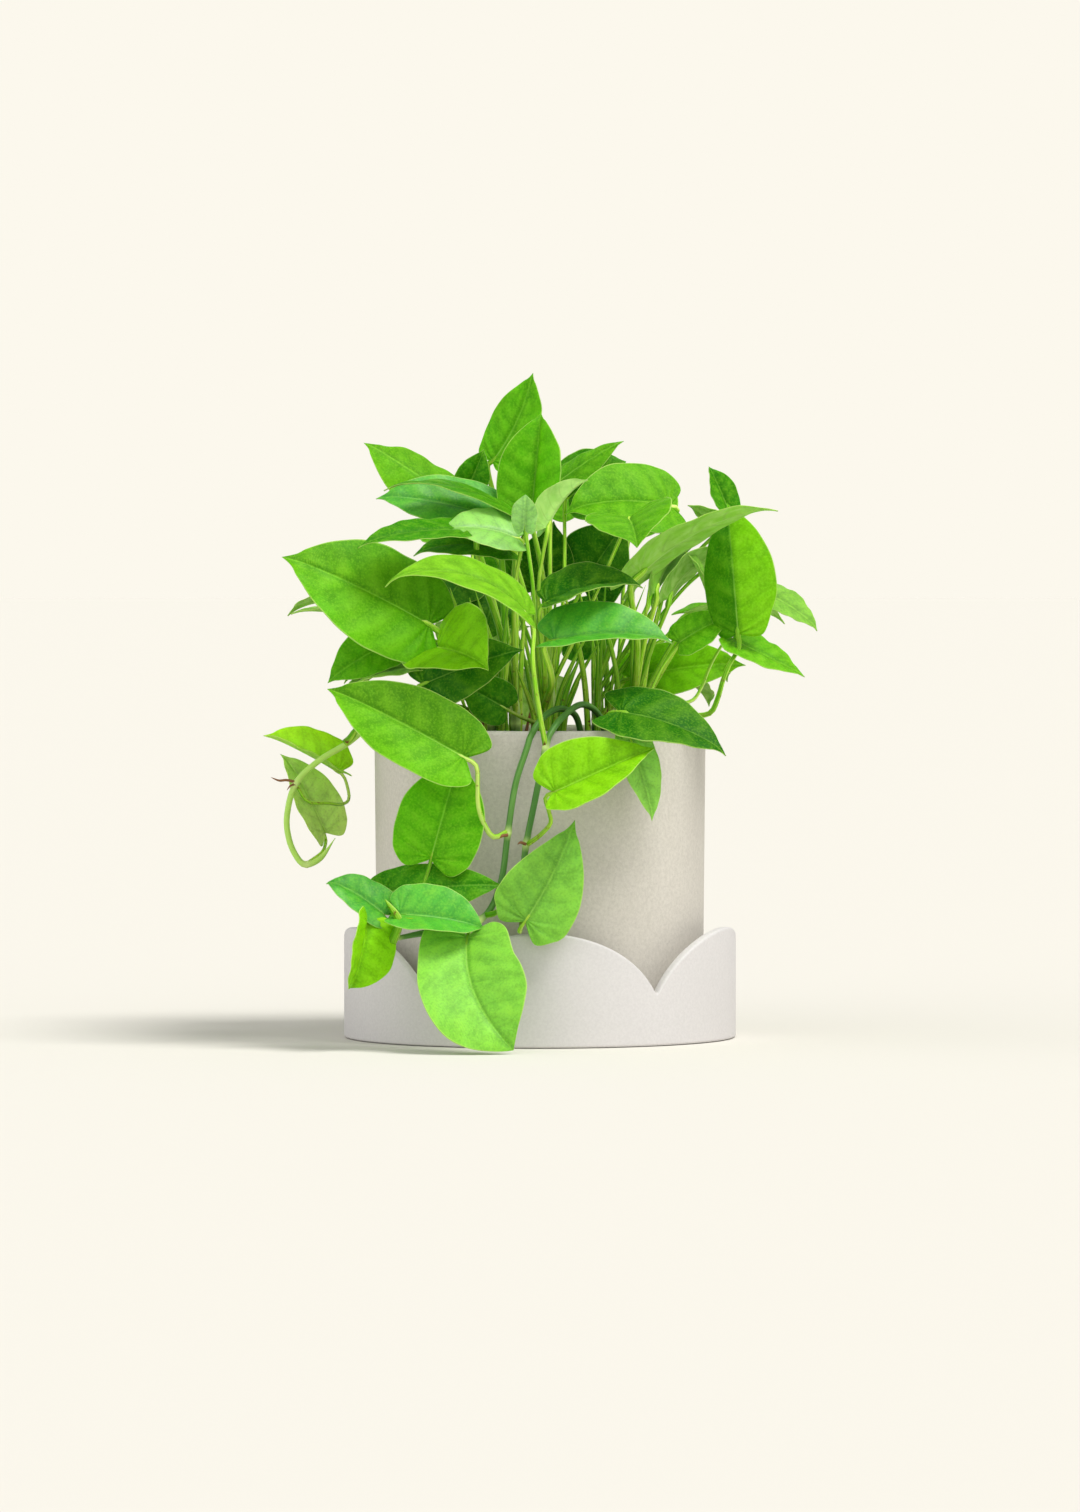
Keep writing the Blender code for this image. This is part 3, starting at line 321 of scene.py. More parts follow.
def rib_of(plan):
    """The blade's rib: places, side directions and outward directions at even steps along it."""
    base, tip, up = (np.array(plan[key], float) for key in ("base", "tip", "up"))
    chord = tip - base
    forward = unit(chord)
    out = unit(up - forward * (up @ forward))
    side = np.cross(out, forward)
    steps = np.linspace(RIB_BEHIND, 1, RIB_STEPS)
    hooked = np.clip((steps - HOOK_FROM) / (1 - HOOK_FROM), 0, None) ** 2
    turn = math.radians(plan["bend"]) * (0.5 - steps) - math.radians(plan["hook"]) * hooked
    slices = np.diff(steps)
    run = np.concatenate([[0], np.cumsum((np.cos(turn[1:]) + np.cos(turn[:-1])) / 2 * slices)])
    rise = np.concatenate([[0], np.cumsum((np.sin(turn[1:]) + np.sin(turn[:-1])) / 2 * slices)])
    run -= np.interp(0, steps, run)
    rise -= np.interp(0, steps, rise)
    lean = math.atan2(rise[-1], run[-1])
    scale = np.linalg.norm(chord) / math.hypot(run[-1], rise[-1])
    ahead = scale * (run * math.cos(lean) + rise * math.sin(lean))
    above = scale * (rise * math.cos(lean) - run * math.sin(lean))
    turn = (turn - lean)[:, None]
    bow = plan["sway"] * 4 * steps * (1 - steps)
    places = base + ahead[:, None] * forward + above[:, None] * out + bow[:, None] * side
    outward = out * np.cos(turn) - forward * np.sin(turn)
    onward = forward * np.cos(turn) + out * np.sin(turn)
    swing = np.arctan(plan["sway"] * 4 * (1 - 2 * steps) / np.linalg.norm(chord))[:, None]
    across = side * np.cos(swing) - onward * np.sin(swing)
    twist = math.radians(plan["twist"]) * np.clip(steps, 0, 1)[:, None]
    sides = across * np.cos(twist) + outward * np.sin(twist)
    return steps, places, sides, outward * np.cos(twist) - across * np.sin(twist)


def blade_places(plan, along, across):
    """Places on the blade's middle surface, and its normals there, for flat leaf coordinates."""
    steps, places, sides, outs = rib_of(plan)
    along, across = np.asarray(along, float), np.asarray(across, float)
    place, side, out = (between(rows, steps, along) for rows in (places, sides, outs))
    half = plan["width"] / 2
    far = np.abs(across) * half
    left, right = plan["fold"]
    start = np.radians(np.where(across > 0, left, right))
    rate = math.radians(EDGE_TURN) / half
    angle = start + rate * far
    reach = (np.sin(angle) - np.sin(start)) / rate * np.sign(across)
    lift = (np.cos(start) - np.cos(angle)) / rate
    phase = plan["base"][0] + np.where(across > 0, 0, 2)
    lift += WAVE * across**2 * np.sin(math.tau * WAVE_TURNS * along + phase)
    slope = np.where(across == 0, 0, angle)[:, None]
    normal = out * np.cos(slope) - side * np.sin(slope) * np.sign(across)[:, None]
    return place + side * reach[:, None] + out * lift[:, None], normal


def smooth_route(points, step_count):
    """Even steps along a smooth curve through the points."""
    points = np.array(points, float)
    if len(points) == 2:
        return points[0] + np.linspace(0, 1, step_count + 1)[:, None] * (points[1] - points[0])
    ends = np.concatenate([[2 * points[0] - points[1]], points, [2 * points[-1] - points[-2]]])
    fine = []
    for before, start, end, after in zip(ends, ends[1:], ends[2:], ends[3:]):
        for share in np.arange(CURVE_STEPS) / CURVE_STEPS:
            fine.append(
                0.5 * (2 * start + (end - before) * share
                       + (2 * before - 5 * start + 4 * end - after) * share**2
                       + (3 * start - before - 3 * end + after) * share**3)
            )
    fine = np.array(fine + [points[-1]])
    lengths = distances(fine)
    return between(fine, lengths, np.linspace(0, lengths[-1], step_count + 1))


def stem_places(stem):
    """The stem's route with its upright start in the soil."""
    x, y = stem["root"]
    heights = (SOIL_TOP - ROOT_DEPTH, *(SOIL_TOP + height for height in ROOT_STRAIGHT))
    return np.array([*((x, y, height) for height in heights), *stem["route"]], float)


def under_rib(plan, along, depth):
    """A place under the blade's rib."""
    steps, places, _, outs = rib_of(plan)
    return between(places, steps, along) - between(outs, steps, along) * depth


def stalk_route(plan, stem_line):
    """The leaf stalk's route from the blade's notch to the stem, through its own places or in a free arc."""
    start = np.array(plan["stalk"][0], float)
    start = stem_line[np.argmin(np.linalg.norm(stem_line - start, axis=1))]
    base = np.array(plan["base"], float)
    through = [np.array(place, float) for place in plan["stalk"][1:]]
    if not through:
        span = base - start
        reach = np.linalg.norm(span)
        level = unit(span * (1, 1, 0))
        (out_first, up_first), (out_last, up_last) = STALK_ARC
        first = start + (level * out_first + (0, 0, up_first)) * reach
        last = base - (level * out_last + (0, 0, up_last)) * reach
        through = [
            start * (1 - s) ** 3 + 3 * first * s * (1 - s) ** 2 + 3 * last * s**2 * (1 - s) + base * s**3
            for s in (0.25, 0.5, 0.75)
        ]
    neck = under_rib(plan, -STALK_NECK, STALK_UNDER)
    through = [place for place in through if np.linalg.norm(place - neck) > STALK_CLEAR]
    return smooth_route([neck, *through[::-1], start], STALK_STEPS - plan["plain"])


def fine_line(stem):
    """Close points along the stem, for finding where a stalk springs from it."""
    return smooth_route(stem_places(stem), FINE_STEPS)


# Leaf tones, one letter for each leaf of a stem in order; some of them hold painted light and shade
TONES = {
    "vine_front_left": "mhdbybc",
    "vine_front_right": "lyc",
    "vine_left": "ut",
    "stem_left_low": "mykpmp",
    "stem_left_high": "mdbdwd",
    "stem_centre": "ffdmd",
    "stem_right_high": "mdpy",
    "stem_right": "lmdpp",
    "vine_right": "vmm",
    "stem_front_right": "ks",
    "stem_front": "kbmqqd",
    "stem_back_left": "mmdmkkd",
    "stem_back": "mmdmdkkkd",
    "stem_back_right": "mmdmd",
}
# Some tones are painted light and shade: the pale 't', 'u', 's' and 'y' brighten leaves that lie in shade,
# the pale 'w' stands in part for a glossy leaf's highlights, and the dark 'k' and 'd' deepen the shade of
# leaves inside the plant
TONE_COLOURS = {
    "m": (92, 172, 8), "f": (98, 190, 6), "l": (118, 192, 30), "d": (52, 136, 0), "k": (24, 102, 0),
    "b": (74, 176, 44), "p": (140, 194, 76), "y": (132, 212, 8), "v": (106, 184, 0), "c": (128, 208, 70),
    "h": (80, 170, 0), "w": (150, 212, 92), "t": (214, 255, 134), "u": (170, 240, 20), "s": (160, 228, 98),
    "q": (166, 220, 136),
}
WAX = {"b": 0.6, "w": 1.0, "c": 0.3}  # how glossy the leaves of a tone are
PLAIN_WAX = 0.1  # how glossy the others are
# Painted light and shade on the left and right halves of some leaves, against their tone: one factor, or one
# each for red, green and blue
HALF_LIGHT_AND_SHADE = {
    ("vine_front_left", 0): (1.0, 0.62), ("vine_front_left", 1): (1.08, 0.92),
    ("vine_front_left", 6): (0.92, 1.0), ("vine_front_right", 2): (0.9, 1.06),
    ("stem_left_low", 0): (1.15, 0.84), ("stem_left_high", 0): (1.1, 0.9),
    ("stem_centre", 1): (0.84, 1.1), ("vine_right", 0): ((0.3, 0.56, 1.0), 1.0),
}
VINE_COLOURS = {"vine_left": (190, 232, 104), "vine_right": (118, 178, 66), "others": (30, 98, 30)}

# The fine blade
ROWS_PER_MM = 0.95
ROW_RANGE = (28, 76)  # fewest and most
COLUMNS_PER_MM = 0.42
COLUMN_RANGE = (7, 15)  # fewest and most on each half
COLUMN_CROWDING = 1.35  # over 1 gathers the columns at the rib
RIM_SHARE = 0.982  # where the last column inside the edge lies
VEINS = 8.0  # side veins on each half
BLADE = (0.55, 0.32)  # blade thickness at the rib and at its edge
DRIP_TIP = ((0.905, 0.15), (0.955, 0.058))  # extra outline points that draw the tip out
SHOULDER = (0.07, 0.95)  # an extra outline point between the lobe and the widest place
ROUND_FULL = 0.65  # a blade as full as this has no drawn-out tip
DRIFT = 0.16  # height of its soft unevenness
DRIFT_WAVES = 4
DRIFT_TURNS = ((3, 9), (1.5, 5))  # along and across the blade
RUFFLE = 0.42  # height of the waves at its edge
RUFFLE_TURNS = (8, 15)
QUILT = 0.45  # the rise between side veins
GROOVE = (0.34, 0.7)  # depth and half width of the groove over the rib
RIDGE = (1.05, 0.12, 0.95)  # height at the stalk, height at the tip and half width of the rib below

# Fine stems and stalks
STEM_TUBE = (14, 2.0)  # sides, and the length of one step
STALK_TUBE_SIDES = 10
STALK_STEP = 1.8
STALK_RADII = ((0.0, 2.1), (0.08, 1.85), (0.5, 1.55), (0.84, 1.45), (0.93, 1.7), (0.97, 1.5), (1.0, 0.6))
STALK_FULL_LEAF = 55.0  # a leaf of this length has a stalk of full thickness
STALK_SHARES = (0.65, 1.08)  # thinnest and thickest stalk against that
STALK_SUNK = 0.75  # how far under the blade's middle its stalk ends
STALK_REACH = 4.0  # how far it runs on under the rib
VINE_STALK = 0.7  # how thick the stalks on the vines are against the others
VINE_SLIM = 0.84  # how thick the front vines are drawn, as a share of their CAD tube
NODE_REACH = 2.2  # half the length of a pale swollen node
NODE_SWELL = 0.22
END_TAPER = 12.0  # length of a stem's thinner end
END_SHARE = 0.72  # how thick the end is
END_SHARES = {"vine_left": 0.12}

UPPER, UNDER, GREEN, VINE, DRY = range(5)  # the foliage's materials in order

# Small growths: material, radius and places
SPROUTS = {
    "vine_left": (
        (DRY, 0.75, (
            (-121.5, -16.4, 127.6), (-126, -17.2, 128.6), (-130, -16.6, 128.4), (-134, -16.8, 130),
        )),
        (DRY, 0.5, ((-122, -16.6, 127), (-124.4, -18.6, 125.6), (-126, -19.4, 123.6))),
        (GREEN, 2.0, ((-97, -15.6, 147), (-94, -16.6, 150), (-90.5, -17, 156))),
    ),
    "vine_front_left": (
        (DRY, 0.9, ((-15.9, -96, 104), (-18.5, -97.5, 103.6), (-20.4, -98, 102.2))),
        (GREEN, 1.6, ((-26.5, -98, 65), (-22, -98.6, 66), (-16.5, -99, 70))),
        (GREEN, 2.3, ((-71.5, -113, 53), (-68.5, -118.5, 63), (-75, -120, 73.5))),
        (GREEN, 1.5, ((-68, -118, 63.5), (-58, -119.5, 62.5), (-46, -117.5, 58))),
    ),
    "vine_front_right": (
        (DRY, 0.8, ((-7, -96, 99.5), (-9.5, -97.6, 100.4), (-11, -98, 99.4))),
    ),
}
SPROUT_STEPS = 22
SPROUT_TAPER = ([0, 0.6, 0.9, 1], [1, 0.85, 0.4, 0.08])
SHOOTS = 5  # green shoots round the foot of a stem
SHOOT_DEPTH = 3.0
SHOOT_AWAY = 4.5  # from the middle of the stem
SHOOT_SPREAD = (6, 24)  # how far a shoot leans out
SHOOT_HEIGHT = (34, 92)
SHOOT_RADIUS = (0.9, 2.0)
SHEATHS = 2  # short dry sheaths there
SHEATH_AWAY = (3, 8)  # at its foot and at its top
SHEATH_HEIGHT = (10, 26)
SHEATH_RADIUS = (0.6, 1.1)

# Fine saucer, pot and soil
SCALLOP_COLUMNS = 96
NOTCH_CROWDING = 0.8  # how far the columns gather at the notches
NOTCH_BLEND = 1.4  # the bottom of a notch is rounded this far to each side
SAUCER_CENTRE = 40.0  # inside this radius its underside and its floor are flat fans
SAUCER_ROUNDING = (1.4, 1.6, 1.6, 3.0)  # foot, outer edge, inner edge, floor
POT_COLUMNS = 192
POT_ROUNDING = (1.8, 2.4, 2.4, 4.0)
POT_STEP = 6.0
SOIL_RINGS = 60
SOIL_COLUMNS = 150
SOIL_ROUGH = 1.3
SOIL_GRAIN = 0.22  # how close the unevenness lies
CRUMBS = 1500
CRUMB_SIZES = (0.7, 0.9, 1.1, 1.4, 1.9)
CRUMB, CHIP, GRAIN = range(3)  # the soil's materials in order
CRUMB_SHARES = (0.74, 0.2, 0.06)
CRUMB_SHAPE = (1, 1, 0.75)
CHIP_SHAPE = (1.7, 0.9, 0.4)
LUMP_SIDES = 7
LUMP_RINGS = 3
LUMP_UNEVEN = (0.78, 1.22)
LUMP_SET = (-0.2, 0.45)  # how far up or down a lump lies, in its own size
SOIL_INSET = 4  # by how much the soil's base is smaller than the pot inside

# Studio
FLOOR_COLOUR = (222, 219, 210)
FLOOR_HALF = 80.0  # metres
FLOOR_DROP = 0.0003
BACKDROP = (252, 248, 237)
AMBIENT = 0.4
SUNS = (  # name, azimuth and elevation in degrees, strength, angle and colour
    ("key", (60, 60), 2.6, 26, (1.0, 0.99, 0.97)),
    ("side", (5, 14), 0.9, 100, (1.0, 1.0, 1.0)),
    ("fill", (-75, 12), 1.1, 100, (1.0, 1.0, 1.0)),
)
CAMERA_PLACE = (0.0, -3.75, 0.2295)
CAMERA_DOWN = 1.364  # degrees
CAMERA_LENS = 178.57


def srgb(*values):
    """Linear colour from 8 bit display values."""
    shares = [value / 255 for value in values]
    return tuple(c / 12.92 if c <= 0.04045 else ((c + 0.055) / 1.055) ** 2.4 for c in shares)


class Surface:
    """A procedural material under construction."""

    def __init__(self, name, **values):
        self.material = bpy.data.materials.new(name)
        self.material.use_nodes = True
        self.nodes = self.material.node_tree.nodes
        self.links = self.material.node_tree.links
        self.shader = self.nodes["Principled BSDF"]
        for key, value in values.items():
            self.shader.inputs[key.replace("_", " ")].default_value = value

    def node(self, kind, inputs=None, output=0, **settings):
        """Adds a node and returns one of its outputs. An input is a value or another node's output."""
        node = self.nodes.new("ShaderNode" + kind)
        for key, value in settings.items():
            setattr(node, key, value)
        for key, value in (inputs or {}).items():
            if isinstance(value, bpy.types.NodeSocket):
                self.links.new(value, node.inputs[key])
            else:
                node.inputs[key].default_value = value
        return node.outputs[output]

    def math(self, operation, *values, clamp=False):
        return self.node("Math", dict(enumerate(values)), operation=operation, use_clamp=clamp)

    def times(self, first, second):
        return self.math("MULTIPLY", first, second)

    def attribute(self, name, output="Fac"):
        return self.node("Attribute", attribute_name=name, output=output)

    def noise(self, vector, scale, detail=3.0, roughness=0.55):
        inputs = {"Vector": vector, "Scale": scale, "Detail": detail, "Roughness": roughness}
        return self.node("TexNoise", inputs, output="Fac")

    def span(self, value, low, high, to_low=0.0, to_high=1.0, smooth=True):
        """Maps low..high to to_low..to_high, held at both ends."""
        inputs = {"Value": value, "From Min": low, "From Max": high, "To Min": to_low, "To Max": to_high}
        return self.node("MapRange", inputs, interpolation_type="SMOOTHSTEP" if smooth else "LINEAR")

    def mix(self, share, first, second):
        colours = [
            value if isinstance(value, bpy.types.NodeSocket) else (*value, 1.0) for value in (first, second)
        ]
        return self.node("Mix", {0: share, 6: colours[0], 7: colours[1]}, output=2, data_type="RGBA")

    def layers(self, colour, *layers):
        """The colour with other colours laid over it in turn, each as (share, colour)."""
        for share, top in layers:
            colour = self.mix(share, colour, top)
        return colour

    def split(self, vector):
        return self.node("SeparateXYZ", {0: vector}).node.outputs[:]

    def combine(self, x, y, z):
        return self.node("CombineXYZ", {0: x, 1: y, 2: z})

    def stretched(self, parts, factors):
        """A flat place with its first two parts scaled, which draws a texture out along it."""
        return self.combine(self.times(parts[0], factors[0]), self.times(parts[1], factors[1]), parts[2])

    def place(self):
        return self.node("TexCoord", output="Object")

    def bump(self, height, strength, distance, normal=None):
        inputs = {"Height": height, "Strength": strength, "Distance": distance}
        if normal is not None:
            inputs["Normal"] = normal
        return self.node("Bump", inputs)

    def finish(self, **outputs):
        for key, value in outputs.items():
            self.links.new(value, self.shader.inputs[key.replace("_", " ")])
        return self.material


def leaf_material(name, under):
    """A leaf's upper or lower face, from its tint and its flat pattern attributes."""
    s = Surface(
        name, Subsurface_Weight=0.22, Subsurface_Scale=0.0016, Subsurface_Radius=(0.5, 1.0, 0.15),
    )
    flat = s.split(s.attribute("flat", "Vector"))
    vein, share, _ = flat
    rib = s.attribute("rib_mm")
    tint = s.attribute("tint", "Color")
    streaks = s.noise(s.stretched(flat, (1.6, 2.2)), 1.0, 4.0)
    cloud = s.noise(s.stretched(flat, (0.35, 1.0)), 1.3, 2.0)
    mottle = s.noise(s.place(), 130.0, 4.0, 0.6)
    flecks = s.noise(s.place(), 950.0, 3.0, 0.6)
    off = s.math("ABSOLUTE", s.math("SUBTRACT", s.math("FRACT", vein), 0.5))
    inside = s.span(share, 0.5, 0.98, 1.0, 0.1)
    line = s.times(s.span(off, 0.0, 0.09, 1.0, 0.0), inside)
    band = s.times(s.span(off, 0.02, 0.4, 1.0, 0.0), inside)
    ripples = {"Vector": s.stretched(flat, (6.0, 3.0)), "Scale": 1.0, "Distortion": 2.2, "Detail": 2.0}
    fine = s.node("TexWave", ripples, output="Fac")
    spine = s.times(s.span(rib, 0.15, 0.45, 1.0, 0.0), s.span(vein, 2.5, 6.5, 1.0, 0.25))
    # Painted shade of the groove over the rib, on a band beside it on the upper face
    rib_groove_shade = s.times(s.span(rib, 0.4, 0.8), s.span(rib, 1.0, 3.2, 1.0, 0.0))
    margin = s.span(share, 0.972, 0.994)
    if under:
        colour = s.layers(
            s.mix(0.5, tint, srgb(166, 216, 92)),
            (s.span(streaks, 0.35, 0.65, 0.0, 0.4), srgb(200, 232, 140)),
            (s.span(mottle, 0.42, 0.62, 0.0, 0.25), srgb(110, 172, 50)),
            (s.times(line, 0.4), srgb(134, 178, 84)),
            (s.times(spine, 0.8), srgb(202, 228, 146)),
        )
    else:
        light = s.mix(0.4, tint, srgb(164, 226, 56))
        dark = s.mix(0.55, tint, srgb(22, 88, 0))
        colour = s.layers(
            tint,
            (s.span(cloud, 0.3, 0.72, 0.0, 0.4), light),
            (s.span(streaks, 0.5, 0.72, 0.0, 0.5), dark),
            (s.span(streaks, 0.28, 0.46, 0.5, 0.0), light),
            (s.span(mottle, 0.42, 0.62, 0.0, 0.32), dark),
            # Partly the veins' own darker colour, partly painted shade in the sunken veins, with painted
            # light on the raised blade between them
            (s.times(s.span(off, 0.22, 0.5, 0.0, 0.22), inside), light),
            (s.times(band, 0.2), dark),
            (s.times(line, 0.3), dark),
            (s.times(rib_groove_shade, 0.5), dark),
            (s.span(flecks, 0.48, 0.66, 0.0, 0.42), light),
            (s.span(flecks, 0.34, 0.48, 0.3, 0.0), dark),
            (s.times(spine, 0.62), srgb(160, 208, 92)),
        )
    colour = s.mix(s.times(margin, 0.55), colour, srgb(196, 226, 120))
    bump = s.bump(fine, 0.25, 0.0002)
    bump = s.bump(flecks, 0.22, 0.00015, bump)
    bump = s.bump(mottle, 0.25, 0.0005, bump)
    wax = s.attribute("tint", "Alpha")
    shine = s.span(wax, 0.0, 1.0, 0.03, 0.3 if under else 0.6, smooth=False)
    dull = s.span(wax, 0.0, 1.0, 0.12, 0.0, smooth=False)
    rough = s.math("ADD", s.span(streaks, 0.2, 0.8, 0.5 if under else 0.3, 0.68 if under else 0.44), dull)
    return s.finish(Base_Color=colour, Normal=bump, Roughness=rough, Specular_IOR_Level=shine)


def stalk_material():
    """Leaf stalks: yellow-green and streaked, brightened as painted light, with a painted highlight on one
    side and painted shade on the other, darker and browner towards the soil.
    """
    s = Surface(
        "stalk_skin", Roughness=0.38, Subsurface_Weight=0.15, Subsurface_Scale=0.0015,
        Subsurface_Radius=(0.6, 1.0, 0.2), Specular_IOR_Level=0.12,
    )
    flat = s.split(s.attribute("flat", "Vector"))
    _, turn, seed = flat
    streaks = s.noise(s.stretched(flat, (0.05, 5.0)), 1.6, 4.0)
    own = s.noise(s.combine(s.times(seed, 3.7), 0.0, 0.0), 1.0, 1.0)
    scars = s.noise(s.stretched(flat, (0.28, 1.0)), 1.0, 5.0, 0.7)
    near_soil = s.span(s.split(s.place())[2], 0.146, 0.205, 1.0, 0.0)
    worn = s.math("ADD", near_soil, 0.25)
    colour = s.layers(
        # The stalks' colours are brightened past their own as painted light
        srgb(140, 222, 8),
        (s.span(streaks, 0.36, 0.62), srgb(226, 255, 104)),
        (s.span(own, 0.42, 0.58, 0.0, 0.6), srgb(78, 172, 4)),
        # Painted highlight on the stalk's side towards +X and painted shade on its other side
        (s.span(turn, 0.72, 0.96, 0.0, 0.6), srgb(238, 255, 150)),
        (s.span(turn, 0.06, 0.34, 0.6, 0.0), srgb(52, 136, 0)),
        (s.times(near_soil, 0.2), srgb(84, 124, 12)),
        (s.math("MULTIPLY", s.span(scars, 0.56, 0.68, 0.0, 0.9), worn, clamp=True), srgb(112, 78, 36)),
    )
    return s.finish(Base_Color=colour, Normal=s.bump(streaks, 0.4, 0.0004))


def vine_material():
    """Vines: their own green with pale rings at the nodes, fine lengthwise grooves and a painted highlight on
    one side.
    """
    s = Surface(
        "vine_skin", Roughness=0.4, Subsurface_Weight=0.1, Subsurface_Scale=0.0015,
        Subsurface_Radius=(0.5, 1.0, 0.3), Specular_IOR_Level=0.3,
    )
    flat = s.split(s.attribute("flat", "Vector"))
    streaks = s.noise(s.stretched(flat, (0.03, 4.0)), 1.5, 4.0)
    scars = s.noise(s.stretched(flat, (0.3, 1.0)), 1.2, 4.0, 0.7)
    ring = s.attribute("ring")
    tint = s.attribute("tint", "Color")
    colour = s.layers(
        tint,
        (s.span(streaks, 0.3, 0.7), s.mix(0.25, tint, srgb(164, 214, 112))),
        # Painted highlight along the vine's side towards +X
        (s.span(flat[1], 0.1, 0.9, 0.0, 0.16), srgb(150, 210, 96)),
        (ring, srgb(206, 232, 140)),
        (s.times(s.span(scars, 0.6, 0.7), ring), srgb(106, 72, 40)),
    )
    return s.finish(Base_Color=colour, Normal=s.bump(streaks, 0.35, 0.0004))


def root_material():
    """Short aerial roots and dry sheaths: rough and brown."""
    s = Surface("aerial_root", Roughness=0.7)
    grain = s.noise(s.place(), 1400.0, 4.0, 0.65)
    colour = s.mix(grain, srgb(92, 58, 36), srgb(170, 116, 70))
    return s.finish(Base_Color=colour, Normal=s.bump(grain, 0.5, 0.0003))


def pot_material():
    """Matte stoneware with a fine even speckle."""
    s = Surface("pot_stoneware", Specular_IOR_Level=0.3)
    place = s.place()
    speck = s.node("TexVoronoi", {"Vector": place, "Scale": 720.0}, output="Distance")
    grain = s.noise(place, 620.0, 4.0, 0.7)
    colour = s.layers(
        srgb(201, 196, 186),
        (s.span(grain, 0.3, 0.7), srgb(216, 211, 201)),
        (s.span(speck, 0.02, 0.2, 0.45, 0.0), srgb(158, 152, 142)),
        (s.span(s.noise(place, 9.0), 0.35, 0.7, 0.0, 0.18), srgb(192, 186, 174)),
    )
    height = s.math("ADD", grain, s.times(s.noise(place, 180.0), 0.6))
    rough = s.span(grain, 0.3, 0.7, 0.68, 0.84)
    return s.finish(Base_Color=colour, Normal=s.bump(height, 0.28, 0.00025), Roughness=rough)


def saucer_material():
    """Smooth bisque: paler and pinker than the pot, with a barely seen grain."""
    s = Surface("saucer_bisque", Specular_IOR_Level=0.35)
    place = s.place()
    grain = s.noise(place, 760.0, 4.0, 0.65)
    cloud = s.noise(place, 14.0)
    colour = s.layers(
        srgb(209, 206, 205),
        (s.span(grain, 0.3, 0.7), srgb(217, 214, 213)),
        (s.span(cloud, 0.35, 0.7, 0.0, 0.15), srgb(209, 204, 200)),
    )
    rough = s.span(cloud, 0.3, 0.7, 0.5, 0.64)
    return s.finish(Base_Color=colour, Normal=s.bump(grain, 0.16, 0.0002), Roughness=rough)


def soil_material(name, dark, light, scale):
    """Crumbly matter between a dark and a light colour."""
    s = Surface(name, Roughness=0.95, Specular_IOR_Level=0.15)
    place = s.place()
    crumb = s.noise(place, scale, 6.0, 0.75)
    fibre = s.node("TexVoronoi", {"Vector": place, "Scale": scale * 1.4}, output="Distance")
    colour = s.layers(
        srgb(*dark),
        (s.span(crumb, 0.35, 0.68), srgb(*light)),
        (s.span(fibre, 0.0, 0.35, 0.5, 0.0), srgb(*dark)),
    )
    return s.finish(Base_Color=colour, Normal=s.bump(crumb, 0.8, 0.0012))


def outward(points, faces):
    """The faces, turned over if they enclose a negative volume."""
    volume = 0.0
    points = np.asarray(points)
    for face in faces:
        first = points[face[0]]
        for second, third in zip(face[1:], face[2:]):
            volume += np.dot(first, np.cross(points[second], points[third]))
    return faces if volume > 0 else [tuple(face)[::-1] for face in faces]


def make_piece(name, points, faces, materials, node, kinds=(), values=()):
    """A named mesh in metres from points in millimetres, which stands in for a node of the part."""
    mesh = bpy.data.meshes.new(name)
    mesh.from_pydata((np.asarray(points) * MM).tolist(), [], [tuple(face) for face in faces])
    for material in materials:
        mesh.materials.append(material)
    if len(kinds):
        mesh.polygons.foreach_set("material_index", np.asarray(kinds, dtype=np.int32))
    for label, items in values:
        kind = ATTRIBUTES[label]
        layer = mesh.attributes.new(label, kind, "POINT")
        key = {"FLOAT": "value", "FLOAT_VECTOR": "vector", "FLOAT_COLOR": "color"}[kind]
        layer.data.foreach_set(key, np.asarray(items, dtype=np.float32).ravel())
    mesh.shade_smooth()
    mesh.update()
    piece = bpy.data.objects.new(name, mesh)
    bpy.context.scene.collection.objects.link(piece)
    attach(piece, "root")
    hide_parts(node)


# Point attributes of the foliage. flat holds the vein number, the share of the way to the edge and a seed on
# blades, and the distance along, the side and a seed on tubes; the side is highest towards +X, where stalks
# and vines get their painted highlight.
ATTRIBUTES = {"flat": "FLOAT_VECTOR", "rib_mm": "FLOAT", "tint": "FLOAT_COLOR", "ring": "FLOAT"}


class Pile:
    """Solids gathered into one mesh, with their materials and attributes."""

    def __init__(self):
        self.points, self.faces, self.kinds = [], [], []
        self.values = {label: [] for label in ATTRIBUTES}
        self.count = 0

    def add(self, points, faces, kinds, values):
        self.points.append(points)
        self.faces += [tuple(int(corner) + self.count for corner in face) for face in outward(points, faces)]
        self.kinds += kinds
        for label, items in values.items():
            self.values[label].append(items)
        self.count += len(points)

    def add_tube(self, route, radii, sides, seed, kind, **looks):
        points, faces, values = tube_parts(route, radii, sides, seed, **looks)
        self.add(points, faces, [kind] * len(faces), values)

    def make(self, name, materials, node):
        values = [(label, np.concatenate(items)) for label, items in self.values.items()]
        points = np.concatenate(self.points)
        make_piece(name, points, self.faces, materials, node, self.kinds, values)


def weld(points, faces, kinds, values):
    """Joins points that lie at the same place, such as those where the halves of a blade meet."""
    keys = {}
    order = np.zeros(len(points), int)
    kept = []
    for number, key in enumerate(map(tuple, np.round(points, 4))):
        if key not in keys:
            keys[key] = len(kept)
            kept.append(number)
        order[number] = keys[key]
    joined_faces, joined_kinds = [], []
    for face, kind in zip(faces, kinds):
        corners = [int(order[corner]) for corner in face]
        before = corners[-1:] + corners[:-1]
        corners = [corner for corner, last in zip(corners, before) if corner != last]
        if len(set(corners)) > 2:
            joined_faces.append(tuple(corners))
            joined_kinds.append(kind)
    return points[kept], joined_faces, joined_kinds, {label: items[kept] for label, items in values.items()}


def length_of(plan):
    return np.linalg.norm(np.subtract(plan["tip"], plan["base"]))


